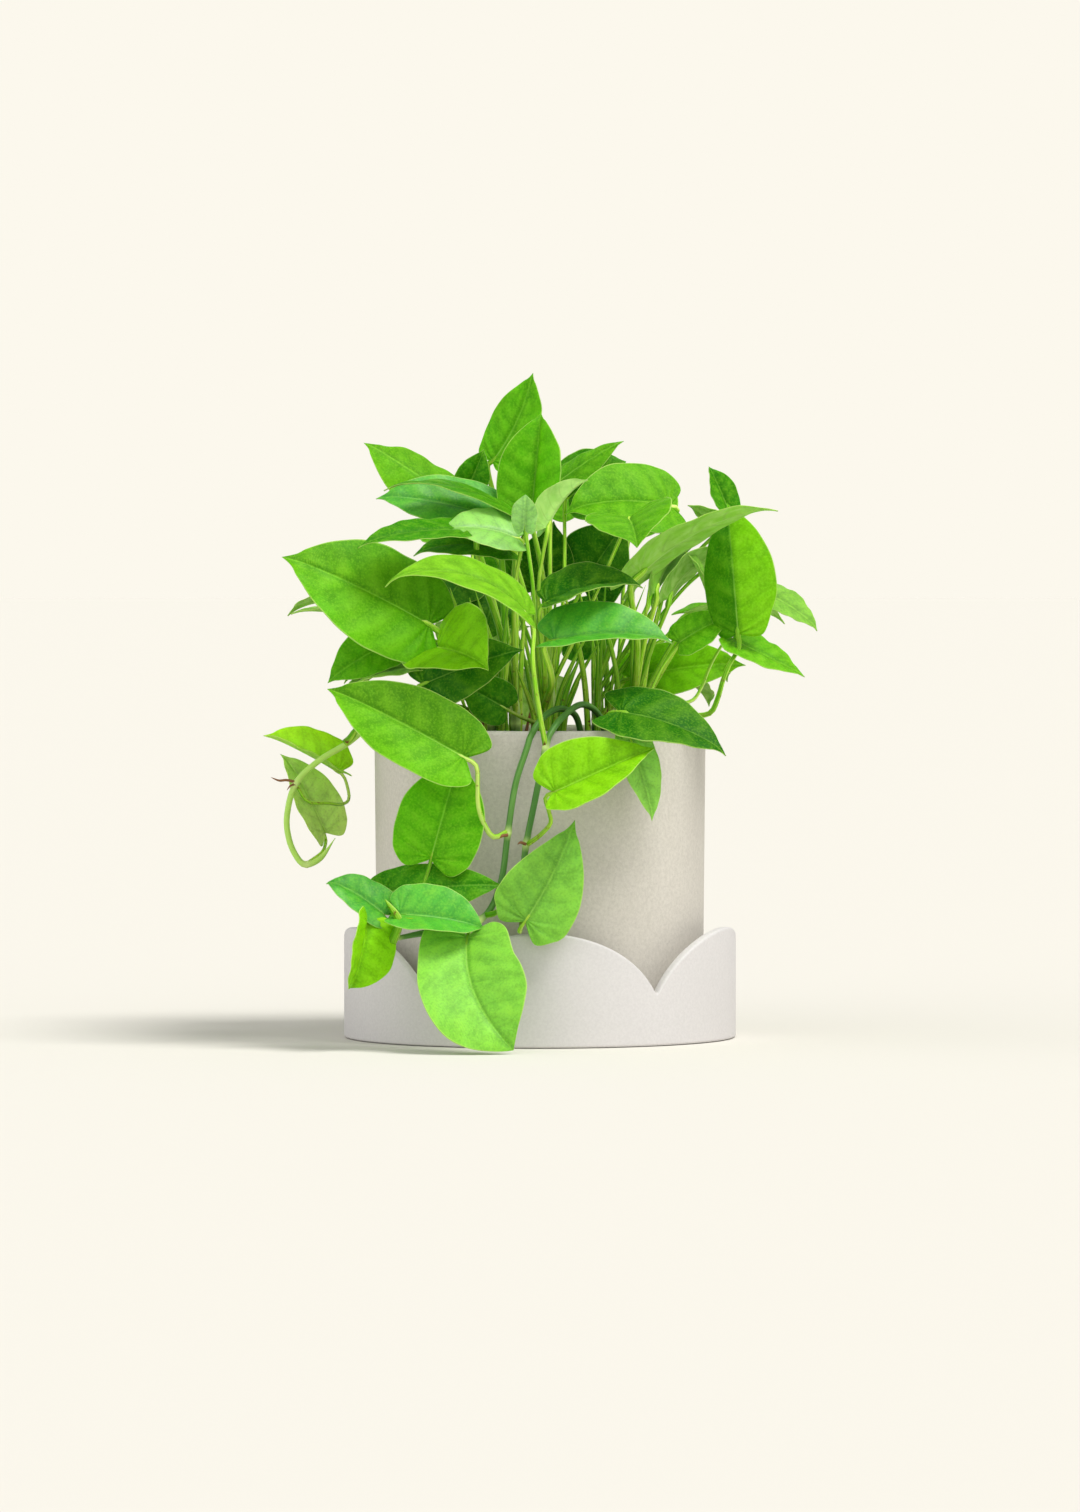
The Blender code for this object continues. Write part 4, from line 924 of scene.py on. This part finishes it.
def outline_of(plan):
    """The blade's edge from its notch round one lobe to its tip, in flat leaf coordinates at even steps."""
    length = length_of(plan)
    half = plan["width"] / 2
    narrowed = 1 - LOBE_NARROWING * max(0, 1 - plan["lobes"])
    drawn_out = DRIP_TIP if plan["full"] > ROUND_FULL else ()
    shoulder = (SHOULDER[0], SHOULDER[1] * (1 + narrowed) / 2)
    corners = [(0.0, 0.0), *OUTLINE[:3], shoulder, *OUTLINE[3:-1], *drawn_out, OUTLINE[-1]]
    points = [
        (a ** plan["full"] * length, c * half, 0.0) if a > 0
        else (a * plan["lobes"] * length, c * narrowed * half, 0.0)
        for a, c in corners
    ]
    curve = smooth_route(points, int(np.clip(round(length * ROWS_PER_MM), *ROW_RANGE)))
    return curve[:, 0] / length, np.clip(curve[:, 1], 0, None) / half


def blade_grid(plan, draw):
    """The blade's points from rib to edge, on the left and then the right.

    For each point: its flat leaf coordinates, its place among the side veins, and its share of the way to
    the edge. The numbers of rows and columns of each half come last.
    """
    edge_along, edge_across = outline_of(plan)
    rows = len(edge_along)
    inner = int(np.clip(round(plan["width"] / 2 * COLUMNS_PER_MM), *COLUMN_RANGE))
    shares = np.append((np.arange(inner) / (inner - 1)) ** COLUMN_CROWDING * RIM_SHARE, 1.0)
    rib = np.maximum(0.0, edge_along - VEIN_SLANT * edge_across)
    bow = -VEIN_BOW * edge_across * np.clip(edge_along + 0.1, 0, 1)
    along, across, vein, share = [], [], [], []
    for hand, phase in ((1, 0.5), (-1, 0.7 + 0.45 * draw.random())):
        for part in shares:
            along.append(rib + (edge_along - rib) * part + bow * part * (1 - part) * 4)
            across.append(hand * edge_across * part)
            vein.append(np.linspace(0, VEINS, rows) + phase)
            share.append(np.full(rows, part))
    return *(np.concatenate(values) for values in (along, across, vein, share)), rows, len(shares)


def blade_relief(draw, along, across, vein, share, rib_mm, length):
    """How far the upper and the lower face stand off the blade's middle surface.

    Each relief fades out towards the rib, the edge or the tip.
    """
    drift = np.zeros(len(along))
    for _ in range(DRIFT_WAVES):
        turn_along, turn_across = (draw.uniform(*turns) for turns in DRIFT_TURNS)
        drift += np.sin(along * turn_along + across * turn_across + draw.uniform(0, math.tau))
    lift = DRIFT * drift * np.clip(rib_mm / 6, 0, 1)
    for hand in (1, -1):
        turns, phase = draw.uniform(*RUFFLE_TURNS), draw.uniform(0, math.tau)
        ruffle = np.sin(along * turns + phase) + 0.6 * np.sin(along * turns * 2.3 + phase * 2)
        lift += RUFFLE * ruffle * share**3 * (across * hand > 0) * np.clip((1 - along) * 5, 0, 1)
    from_vein = np.abs(vein % 1 - 0.5)
    fade = np.clip(rib_mm / 3, 0, 1) * np.clip((1 - share) * 6, 0, 1) * np.clip(length / 50, 0.4, 1.1)
    quilt = QUILT * (0.5 - 0.5 * np.cos(from_vein * math.tau)) * fade
    groove = GROOVE[0] * np.exp(-(rib_mm / GROOVE[1]) ** 2) * np.clip(1.15 - along, 0, 1)
    ridge = (RIDGE[0] * np.clip(1 - along, 0, 1) ** 0.8 + RIDGE[1]) * np.exp(-(rib_mm / RIDGE[2]) ** 2)
    thick = BLADE[0] + (BLADE[1] - BLADE[0]) * share
    return lift + quilt - groove + thick / 2, lift + quilt * 0.8 - ridge - thick / 2


def blade_faces(rows, columns):
    """Upper and lower faces of both halves and the strip round the edge, with the kind of each face."""
    count = 2 * rows * columns
    faces, kinds = [], []
    for hand in range(2):
        first = hand * columns * rows
        for column in range(columns - 1):
            for row in range(rows - 1):
                a = first + column * rows + row
                b, c, d = a + rows, a + rows + 1, a + 1
                quad = (a, b, c, d) if hand else (d, c, b, a)
                faces += [quad, tuple(corner + count for corner in quad[::-1])]
                kinds += [UPPER, UNDER]
        for row in range(rows - 1):
            a = first + (columns - 1) * rows + row
            quad = (a, a + count, a + count + 1, a + 1)
            faces.append(quad if hand else quad[::-1])
            kinds.append(UPPER)
    return faces, kinds


def blade_parts(plan, seed, tone, halves):
    """The fine blade: points, faces, the kind of each face and point attributes."""
    draw = random.Random(seed)
    along, across, vein, share, rows, columns = blade_grid(plan, draw)
    middle, normals = blade_places(plan, along, across)
    rib_mm = np.abs(across) * plan["width"] / 2
    upper, lower = blade_relief(draw, along, across, vein, share, rib_mm, length_of(plan))
    points = np.concatenate([middle + normals * upper[:, None], middle + normals * lower[:, None]])
    faces, kinds = blade_faces(rows, columns)
    count = len(along)
    colour = np.array(srgb(*TONE_COLOURS[tone])) * draw.uniform(0.9, 1.1)
    colour *= np.array((draw.uniform(0.92, 1.12), 1.0, draw.uniform(0.8, 1.2)))
    # halves holds painted light and shade: one half of some leaves is made darker or lighter than the other
    left, right = (np.broadcast_to(half, 3) for half in halves)
    tints = np.where((across >= 0)[:, None], left, right) * colour
    wax = np.full((count, 1), WAX.get(tone, PLAIN_WAX))
    flat = np.stack([vein, share, np.full(count, seed * 3.7)], axis=1)
    return points, faces, kinds, {
        "flat": np.tile(flat, (2, 1)), "rib_mm": np.tile(rib_mm, 2),
        "tint": np.tile(np.concatenate([tints, wax], axis=1), (2, 1)), "ring": np.zeros(2 * count),
    }


def tube_parts(route, radii, sides, seed, rings=(), tint=(1, 1, 1)):
    """A fine closed tube: points, faces and point attributes, with pale rings at places along it."""
    tangents = np.gradient(route, axis=0)
    across = np.array((1.0, 0.3, 0.1))
    points, flat, ring_values = [], [], []
    for place, tangent, radius, along in zip(route, tangents, radii, distances(route)):
        tangent = unit(tangent)
        across = unit(across - tangent * (across @ tangent))
        other = np.cross(tangent, across)
        glow = sum(math.exp(-((along - where) / NODE_REACH) ** 2) for where in rings)
        for side in range(sides):
            turn = math.tau * side / sides
            points.append(place + radius * (across * math.cos(turn) + other * math.sin(turn)))
            flat.append((along, 0.5 + 0.5 * math.cos(turn), seed))
            ring_values.append(min(1.0, glow))
    faces = ring_faces(len(route), sides)
    faces = [(a, d, c, b) for a, b, c, d in faces]
    count = len(points)
    faces += [tuple(range(sides))[::-1], tuple(range(count - sides, count))]
    return np.array(points), faces, {
        "flat": np.array(flat), "rib_mm": np.full(count, 9.0), "tint": np.tile((*tint, 1.0), (count, 1)),
        "ring": np.array(ring_values),
    }


def ring_faces(rings, columns):
    """Faces between neighbouring rings of points."""
    faces = []
    for ring in range(rings - 1):
        for column in range(columns):
            a, b = ring * columns + column, ring * columns + (column + 1) % columns
            faces.append((a, a + columns, b + columns, b))
    return faces


def fine_stalk(plan, line):
    """The stalk's fine route, from the stem into the underside of the blade's rib."""
    coarse = stalk_route(plan, line)
    end = [
        under_rib(plan, -STALK_NECK * 0.8, 2 * STALK_SUNK), under_rib(plan, 0.0, STALK_SUNK),
        under_rib(plan, STALK_REACH / length_of(plan), STALK_SUNK),
    ]
    count = max(20, int(np.linalg.norm(coarse[0] - coarse[-1]) / STALK_STEP))
    return smooth_route(np.array([*coarse[::-1][:-1], *end]), count)


def foot_sprouts(draw, root):
    """Green shoots and short dry sheaths round the foot of a stem."""

    def spot(turn, away, height):
        return (
            root[0] + away * math.cos(turn), root[1] + away * math.sin(turn), SOIL_TOP - SHOOT_DEPTH + height,
        )

    sprouts = []
    for _ in range(SHOOTS):
        turn, spread = draw.uniform(0, math.tau), draw.uniform(*SHOOT_SPREAD)
        height = draw.uniform(*SHOOT_HEIGHT)
        through = (
            spot(turn, SHOOT_AWAY, 0), spot(turn, SHOOT_AWAY + spread * 0.25, height * 0.5),
            spot(turn, SHOOT_AWAY + spread, height),
        )
        sprouts.append((GREEN, draw.uniform(*SHOOT_RADIUS), through))
    for _ in range(SHEATHS):
        turn, height = draw.uniform(0, math.tau), draw.uniform(*SHEATH_HEIGHT)
        through = (spot(turn, SHEATH_AWAY[0], 0), spot(turn, SHEATH_AWAY[1], height))
        sprouts.append((DRY, draw.uniform(*SHEATH_RADIUS), through))
    return sprouts


def add_sprouts(pile, name, stem, number):
    """The small growths of a stem."""
    sprouts = list(SPROUTS.get(name, ()))
    if name.startswith("stem") and name != "stem_front_right":
        sprouts += foot_sprouts(random.Random(500 + number), stem["root"])
    for place, (kind, radius, through) in enumerate(sprouts):
        route = smooth_route(through, SPROUT_STEPS)
        radii = radius * np.interp(np.linspace(0, 1, len(route)), *SPROUT_TAPER)
        pile.add_tube(route, radii, STALK_TUBE_SIDES, number * 9 + place, kind)


def make_foliage(name, stem, number, materials):
    """One leafy stem as one piece: the stem with its pale node rings, and each leaf on its stalk."""
    pile = Pile()
    line = fine_line(stem)
    places = stem_places(stem)
    length = distances(places)[-1]
    sides, step = STEM_TUBE
    route = smooth_route(places, max(12, round(length / step)))
    distance = distances(route)
    joints = {
        float(distance[np.argmin(np.linalg.norm(route - plan["stalk"][0], axis=1))])
        for plan in stem["leaves"]
    }
    swell = sum(np.exp(-((distance - joint) / NODE_REACH) ** 2) for joint in joints)
    radii = stem["radius"] * (1 + NODE_SWELL * np.clip(swell, 0, 1))
    radii *= np.interp(distance, [length - END_TAPER, length], [1, END_SHARES.get(name, END_SHARE)])
    radii *= VINE_SLIM if name.startswith("vine_front") else 1
    tint = srgb(*VINE_COLOURS.get(name, VINE_COLOURS["others"]))
    pile.add_tube(route, radii, sides, number, VINE, rings=joints, tint=tint)
    add_sprouts(pile, name, stem, number)
    for place, (plan, tone) in enumerate(zip(stem["leaves"], TONES[name])):
        seed = number * 20 + place
        halves = HALF_LIGHT_AND_SHADE.get((name, place), (1.0, 1.0))
        pile.add(*weld(*blade_parts(plan, seed, tone, halves)))
        stalk = fine_stalk(plan, line)
        thick = np.clip(length_of(plan) / STALK_FULL_LEAF, *STALK_SHARES)
        thick *= VINE_STALK if name.startswith("vine") else 1
        radii = np.interp(np.linspace(0, 1, len(stalk)), *zip(*STALK_RADII)) * thick
        pile.add_tube(stalk, radii, STALK_TUBE_SIDES, seed, GREEN)
    pile.make(name + "_foliage", materials, name)


def around(angle, profile):
    """A profile of (radius, height) pairs stood at an angle from the front."""
    return [(r * math.sin(angle), -r * math.cos(angle), z) for r, z in profile]


def turned_faces(columns, rows, closed):
    """Faces between neighbouring columns of points. A closed one joins its last row to its first."""
    faces = []
    for column in range(columns):
        here, after = column * rows, (column + 1) % columns * rows
        for row in range(rows if closed else rows - 1):
            above = (row + 1) % rows
            faces.append((here + row, after + row, after + above, here + above))
    return faces


def rounded(corners, steps):
    """A profile with rounded corners from (radius, height, rounding) triples. The ends stay sharp."""
    result = []
    for number, (r, z, rounding) in enumerate(corners):
        if rounding == 0:
            result.append((r, z))
            continue
        here = np.array((r, z))
        start, end = (
            here + unit(np.array(corners[other][:2]) - here) * rounding for other in (number - 1, number + 1)
        )
        for share in np.linspace(0, 1, steps + 1):
            result.append(tuple(start * (1 - share) ** 2 + 2 * here * share * (1 - share) + end * share**2))
    return result


def scallop_top(from_peak):
    """Height of the saucer's edge at an angle from the middle of a scallop, in radians."""
    along = SAUCER_RADIUS * from_peak / SCALLOP_REACH
    return SCALLOP_PEAK - SCALLOP_DEPTH * (1 - math.sqrt(1 - along**2))


def saucer_top(from_peak):
    """The same with the bottom of the notches rounded."""
    notch = math.pi / SCALLOPS
    arc = SAUCER_RADIUS * (notch - abs(from_peak))
    if arc >= NOTCH_BLEND:
        return scallop_top(from_peak)
    edge = scallop_top(notch - NOTCH_BLEND / SAUCER_RADIUS)
    slope = (scallop_top(notch - (NOTCH_BLEND + 0.1) / SAUCER_RADIUS) - edge) / 0.1
    return edge - slope * NOTCH_BLEND / 2 * (1 - (arc / NOTCH_BLEND) ** 2)


def make_saucer(material):
    """The scalloped saucer with soft edges."""
    inner = SAUCER_RADIUS - SAUCER_WALL
    foot, outer_edge, inner_edge, hollow = SAUCER_ROUNDING
    points = []
    for scallop in range(SCALLOPS):
        for column in range(SCALLOP_COLUMNS):
            even = 2 * column / SCALLOP_COLUMNS - 1
            crowded = math.sin(even * math.pi / 2)
            from_peak = math.pi / SCALLOPS * (even + (crowded - even) * NOTCH_CROWDING)
            top = saucer_top(from_peak)
            profile = rounded([
                (SAUCER_CENTRE, 0.0, 0), (SAUCER_RADIUS, 0.0, foot), (SAUCER_RADIUS, top, outer_edge),
                (inner, top, inner_edge), (inner, SAUCER_FLOOR, hollow), (SAUCER_CENTRE, SAUCER_FLOOR, 0),
            ], 6)
            points += around(math.tau * scallop / SCALLOPS + from_peak, profile)
    rows = len(profile)
    columns = SCALLOPS * SCALLOP_COLUMNS
    faces = turned_faces(columns, rows, False)
    for row, height in ((0, 0.0), (rows - 1, SAUCER_FLOOR)):
        centre = len(points)
        points.append((0.0, 0.0, height))
        for column in range(columns):
            a, b = column * rows + row, (column + 1) % columns * rows + row
            faces.append((centre, b, a) if row == 0 else (centre, a, b))
    make_piece("saucer_body", points, outward(points, faces), [material], "saucer")


def make_pot(material):
    """The cylinder with soft edges and its drain hole."""
    floor = POT_BOTTOM + POT_FLOOR
    foot, outer_edge, inner_edge, hollow = POT_ROUNDING
    profile = rounded([
        (DRAIN_RADIUS, POT_BOTTOM, 0), (POT_BOTTOM_RADIUS, POT_BOTTOM, foot),
        (POT_TOP_RADIUS, POT_TOP, outer_edge), (POT_TOP_RADIUS - POT_WALL, POT_TOP, inner_edge),
        (POT_BOTTOM_RADIUS - POT_WALL, floor, hollow), (DRAIN_RADIUS, floor, 0),
    ], 8)
    wall = []
    for (r0, z0), (r1, z1) in zip(profile, profile[1:] + profile[:1]):
        cuts = max(1, int(abs(z1 - z0) / POT_STEP))
        wall += [(r0 + (r1 - r0) * cut / cuts, z0 + (z1 - z0) * cut / cuts) for cut in range(cuts)]
    points = [
        point for column in range(POT_COLUMNS) for point in around(math.tau * column / POT_COLUMNS, wall)
    ]
    faces = turned_faces(POT_COLUMNS, len(wall), True)
    make_piece("pot_body", points, outward(points, faces), [material], "pot")


def pot_inside(height):
    """Inner radius of the pot at a height."""
    share = (height - POT_BOTTOM - POT_FLOOR) / (POT_TOP - POT_BOTTOM - POT_FLOOR)
    return POT_BOTTOM_RADIUS + (POT_TOP_RADIUS - POT_BOTTOM_RADIUS) * share - POT_WALL


def soil_height(x, y):
    """Top of the soil: a low mound with soft bumps."""
    (wide_x, wide_y), (fine_x, fine_y) = SOIL_BUMPS
    bumps = math.sin(x * wide_x + 1) * math.cos(y * wide_y) + 0.6 * math.sin(x * fine_x - y * fine_y)
    return SOIL_TOP + SOIL_RELIEF * bumps - SOIL_FALL * (math.hypot(x, y) / POT_TOP_RADIUS) ** 2


def make_soil(materials):
    """The soil's crumbly top with loose crumbs, bark chips and a few pale grains on it."""
    draw = random.Random(11)
    radius = pot_inside(SOIL_TOP - SOIL_FALL - SOIL_EDGE) - GAP
    points = []
    angles = [math.tau * column / SOIL_COLUMNS for column in range(SOIL_COLUMNS)]
    for ring in range(SOIL_RINGS + 1):
        r = radius * ring / SOIL_RINGS
        edge = SOIL_EDGE * max(0.0, (r / radius - 0.93) / 0.07)
        level = min(1, (SOIL_RINGS - ring) / 3)
        for angle in angles:
            x, y = r * math.sin(angle), -r * math.cos(angle)
            rough = noise.fractal(Vector((x, y, 0)) * SOIL_GRAIN, 0.6, 2.2, 4) * SOIL_ROUGH * level
            points.append((x, y, soil_height(x, y) + rough - edge))
    floor = POT_BOTTOM + POT_FLOOR + GAP
    plug = DRAIN_RADIUS - GAP
    for r, z in ((pot_inside(floor) - GAP - SOIL_INSET, floor), (plug, floor), (plug, POT_BOTTOM)):
        points += [around(angle, [(r, z)])[0] for angle in angles]
    faces = ring_faces(len(points) // SOIL_COLUMNS, SOIL_COLUMNS)
    centre = len(points)
    last = centre - SOIL_COLUMNS
    points.append((0, 0, POT_BOTTOM))
    for column in range(SOIL_COLUMNS):
        faces.append((centre, last + (column + 1) % SOIL_COLUMNS, last + column))
    kinds = [CRUMB] * len(faces)
    for _ in range(CRUMBS):
        angle, r = draw.uniform(0, math.tau), (radius - 2.5) * math.sqrt(draw.random())
        x, y = r * math.sin(angle), r * math.cos(angle)
        size = draw.choice(CRUMB_SIZES)
        kind = draw.choices((CRUMB, CHIP, GRAIN), CRUMB_SHARES)[0]
        flat = CHIP_SHAPE if kind == CHIP else CRUMB_SHAPE
        lump, lump_faces = rough_lump(draw, size, flat, draw.uniform(0, math.tau))
        base = len(points)
        z = soil_height(x, y) + size * draw.uniform(*LUMP_SET)
        points += [(x + px, y + py, z + pz) for px, py, pz in lump]
        faces += [tuple(corner + base for corner in face) for face in lump_faces]
        kinds += [kind] * len(lump_faces)
    make_piece("soil_bed", points, faces, materials, "soil", kinds)


def rough_lump(draw, size, flat, spin):
    """A small uneven lump of a few rings, scaled by flat along its own axes and turned by spin."""
    points, faces = [(0.0, 0.0, -size * flat[2])], []
    tilt = draw.uniform(-0.5, 0.5)
    for ring in range(1, LUMP_RINGS + 1):
        lean = math.pi * ring / (LUMP_RINGS + 1)
        height, wide = math.cos(lean), math.sin(lean)
        for side in range(LUMP_SIDES):
            turn = math.tau * side / LUMP_SIDES
            grow = size * draw.uniform(*LUMP_UNEVEN)
            x, y = grow * wide * math.cos(turn) * flat[0], grow * wide * math.sin(turn) * flat[1]
            z = -grow * height * flat[2] + x * tilt * 0.4
            across, onward = x * math.cos(spin) - y * math.sin(spin), x * math.sin(spin) + y * math.cos(spin)
            points.append((across, onward, z))
    points.append((0.0, 0.0, size * flat[2]))
    last = 1 + (LUMP_RINGS - 1) * LUMP_SIDES
    for side in range(LUMP_SIDES):
        after = (side + 1) % LUMP_SIDES
        faces.append((0, 1 + after, 1 + side))
        for ring in range(LUMP_RINGS - 1):
            a, b = 1 + ring * LUMP_SIDES + side, 1 + ring * LUMP_SIDES + after
            faces.append((a, b, b + LUMP_SIDES, a + LUMP_SIDES))
        faces.append((last + side, last + after, len(points) - 1))
    return points, faces


def make_floor():
    """A plain pale floor just under the saucer."""
    floor = bpy.data.objects.new("floor", bpy.data.meshes.new("floor"))
    corners = [(x * FLOOR_HALF, y * FLOOR_HALF, -FLOOR_DROP) for x, y in ((-1, -1), (1, -1), (1, 1), (-1, 1))]
    floor.data.from_pydata(corners, [], [(0, 1, 2, 3)])
    s = Surface("floor_paper", Roughness=1.0, Specular_IOR_Level=0.0)
    s.shader.inputs["Base Color"].default_value = (*srgb(*FLOOR_COLOUR), 1)
    floor.data.materials.append(s.material)
    bpy.context.scene.collection.objects.link(floor)


def make_light():
    """An even backdrop for the camera, a dimmer white surround, and three soft suns."""
    world = bpy.data.worlds.new("studio")
    bpy.context.scene.world = world
    world.use_nodes = True
    tree = world.node_tree
    seen = tree.nodes["Background"]
    seen.inputs["Color"].default_value = (*srgb(*BACKDROP), 1)
    seen.inputs["Strength"].default_value = 1.0
    surround = tree.nodes.new("ShaderNodeBackground")
    surround.inputs["Color"].default_value = (1.0, 1.0, 1.0, 1)
    surround.inputs["Strength"].default_value = AMBIENT
    path = tree.nodes.new("ShaderNodeLightPath")
    mixed = tree.nodes.new("ShaderNodeMixShader")
    tree.links.new(path.outputs["Is Camera Ray"], mixed.inputs[0])
    tree.links.new(surround.outputs[0], mixed.inputs[1])
    tree.links.new(seen.outputs[0], mixed.inputs[2])
    tree.links.new(mixed.outputs[0], tree.nodes["World Output"].inputs[0])
    for name, (azimuth, elevation), strength, angle, colour in SUNS:
        data = bpy.data.lights.new(name, "SUN")
        data.energy = strength
        data.angle = math.radians(angle)
        data.color = colour
        lamp = bpy.data.objects.new(name, data)
        a, e = math.radians(azimuth), math.radians(elevation)
        towards = Vector((math.sin(a) * math.cos(e), -math.cos(a) * math.cos(e), math.sin(e)))
        lamp.rotation_euler = towards.to_track_quat("Z", "Y").to_euler()
        bpy.context.scene.collection.objects.link(lamp)


def make_camera():
    """A long lens far in front, looking slightly down."""
    camera_data = bpy.data.cameras.new("camera")
    camera_data.sensor_width = 36.0
    camera_data.lens = CAMERA_LENS
    camera_data.clip_end = 200.0
    camera = bpy.data.objects.new("camera", camera_data)
    camera.location = CAMERA_PLACE
    camera.rotation_euler = (math.radians(90 - CAMERA_DOWN), 0, 0)
    bpy.context.scene.collection.objects.link(camera)
    bpy.context.scene.camera = camera
    bpy.context.scene.view_settings.view_transform = "Standard"


def main():
    foliage = [
        leaf_material("leaf_upper", False), leaf_material("leaf_under", True),
        stalk_material(), vine_material(), root_material(),
    ]
    for number, (name, stem) in enumerate(STEMS.items()):
        make_foliage(name, stem, number, foliage)
    make_saucer(saucer_material())
    make_pot(pot_material())
    make_soil([
        soil_material("soil_dark", (38, 26, 18), (86, 62, 42), 420.0),
        soil_material("soil_bark", (62, 40, 24), (128, 92, 58), 300.0),
        soil_material("soil_grain", (170, 164, 150), (226, 222, 210), 600.0),
    ])
    make_floor()
    make_light()
    make_camera()


main()
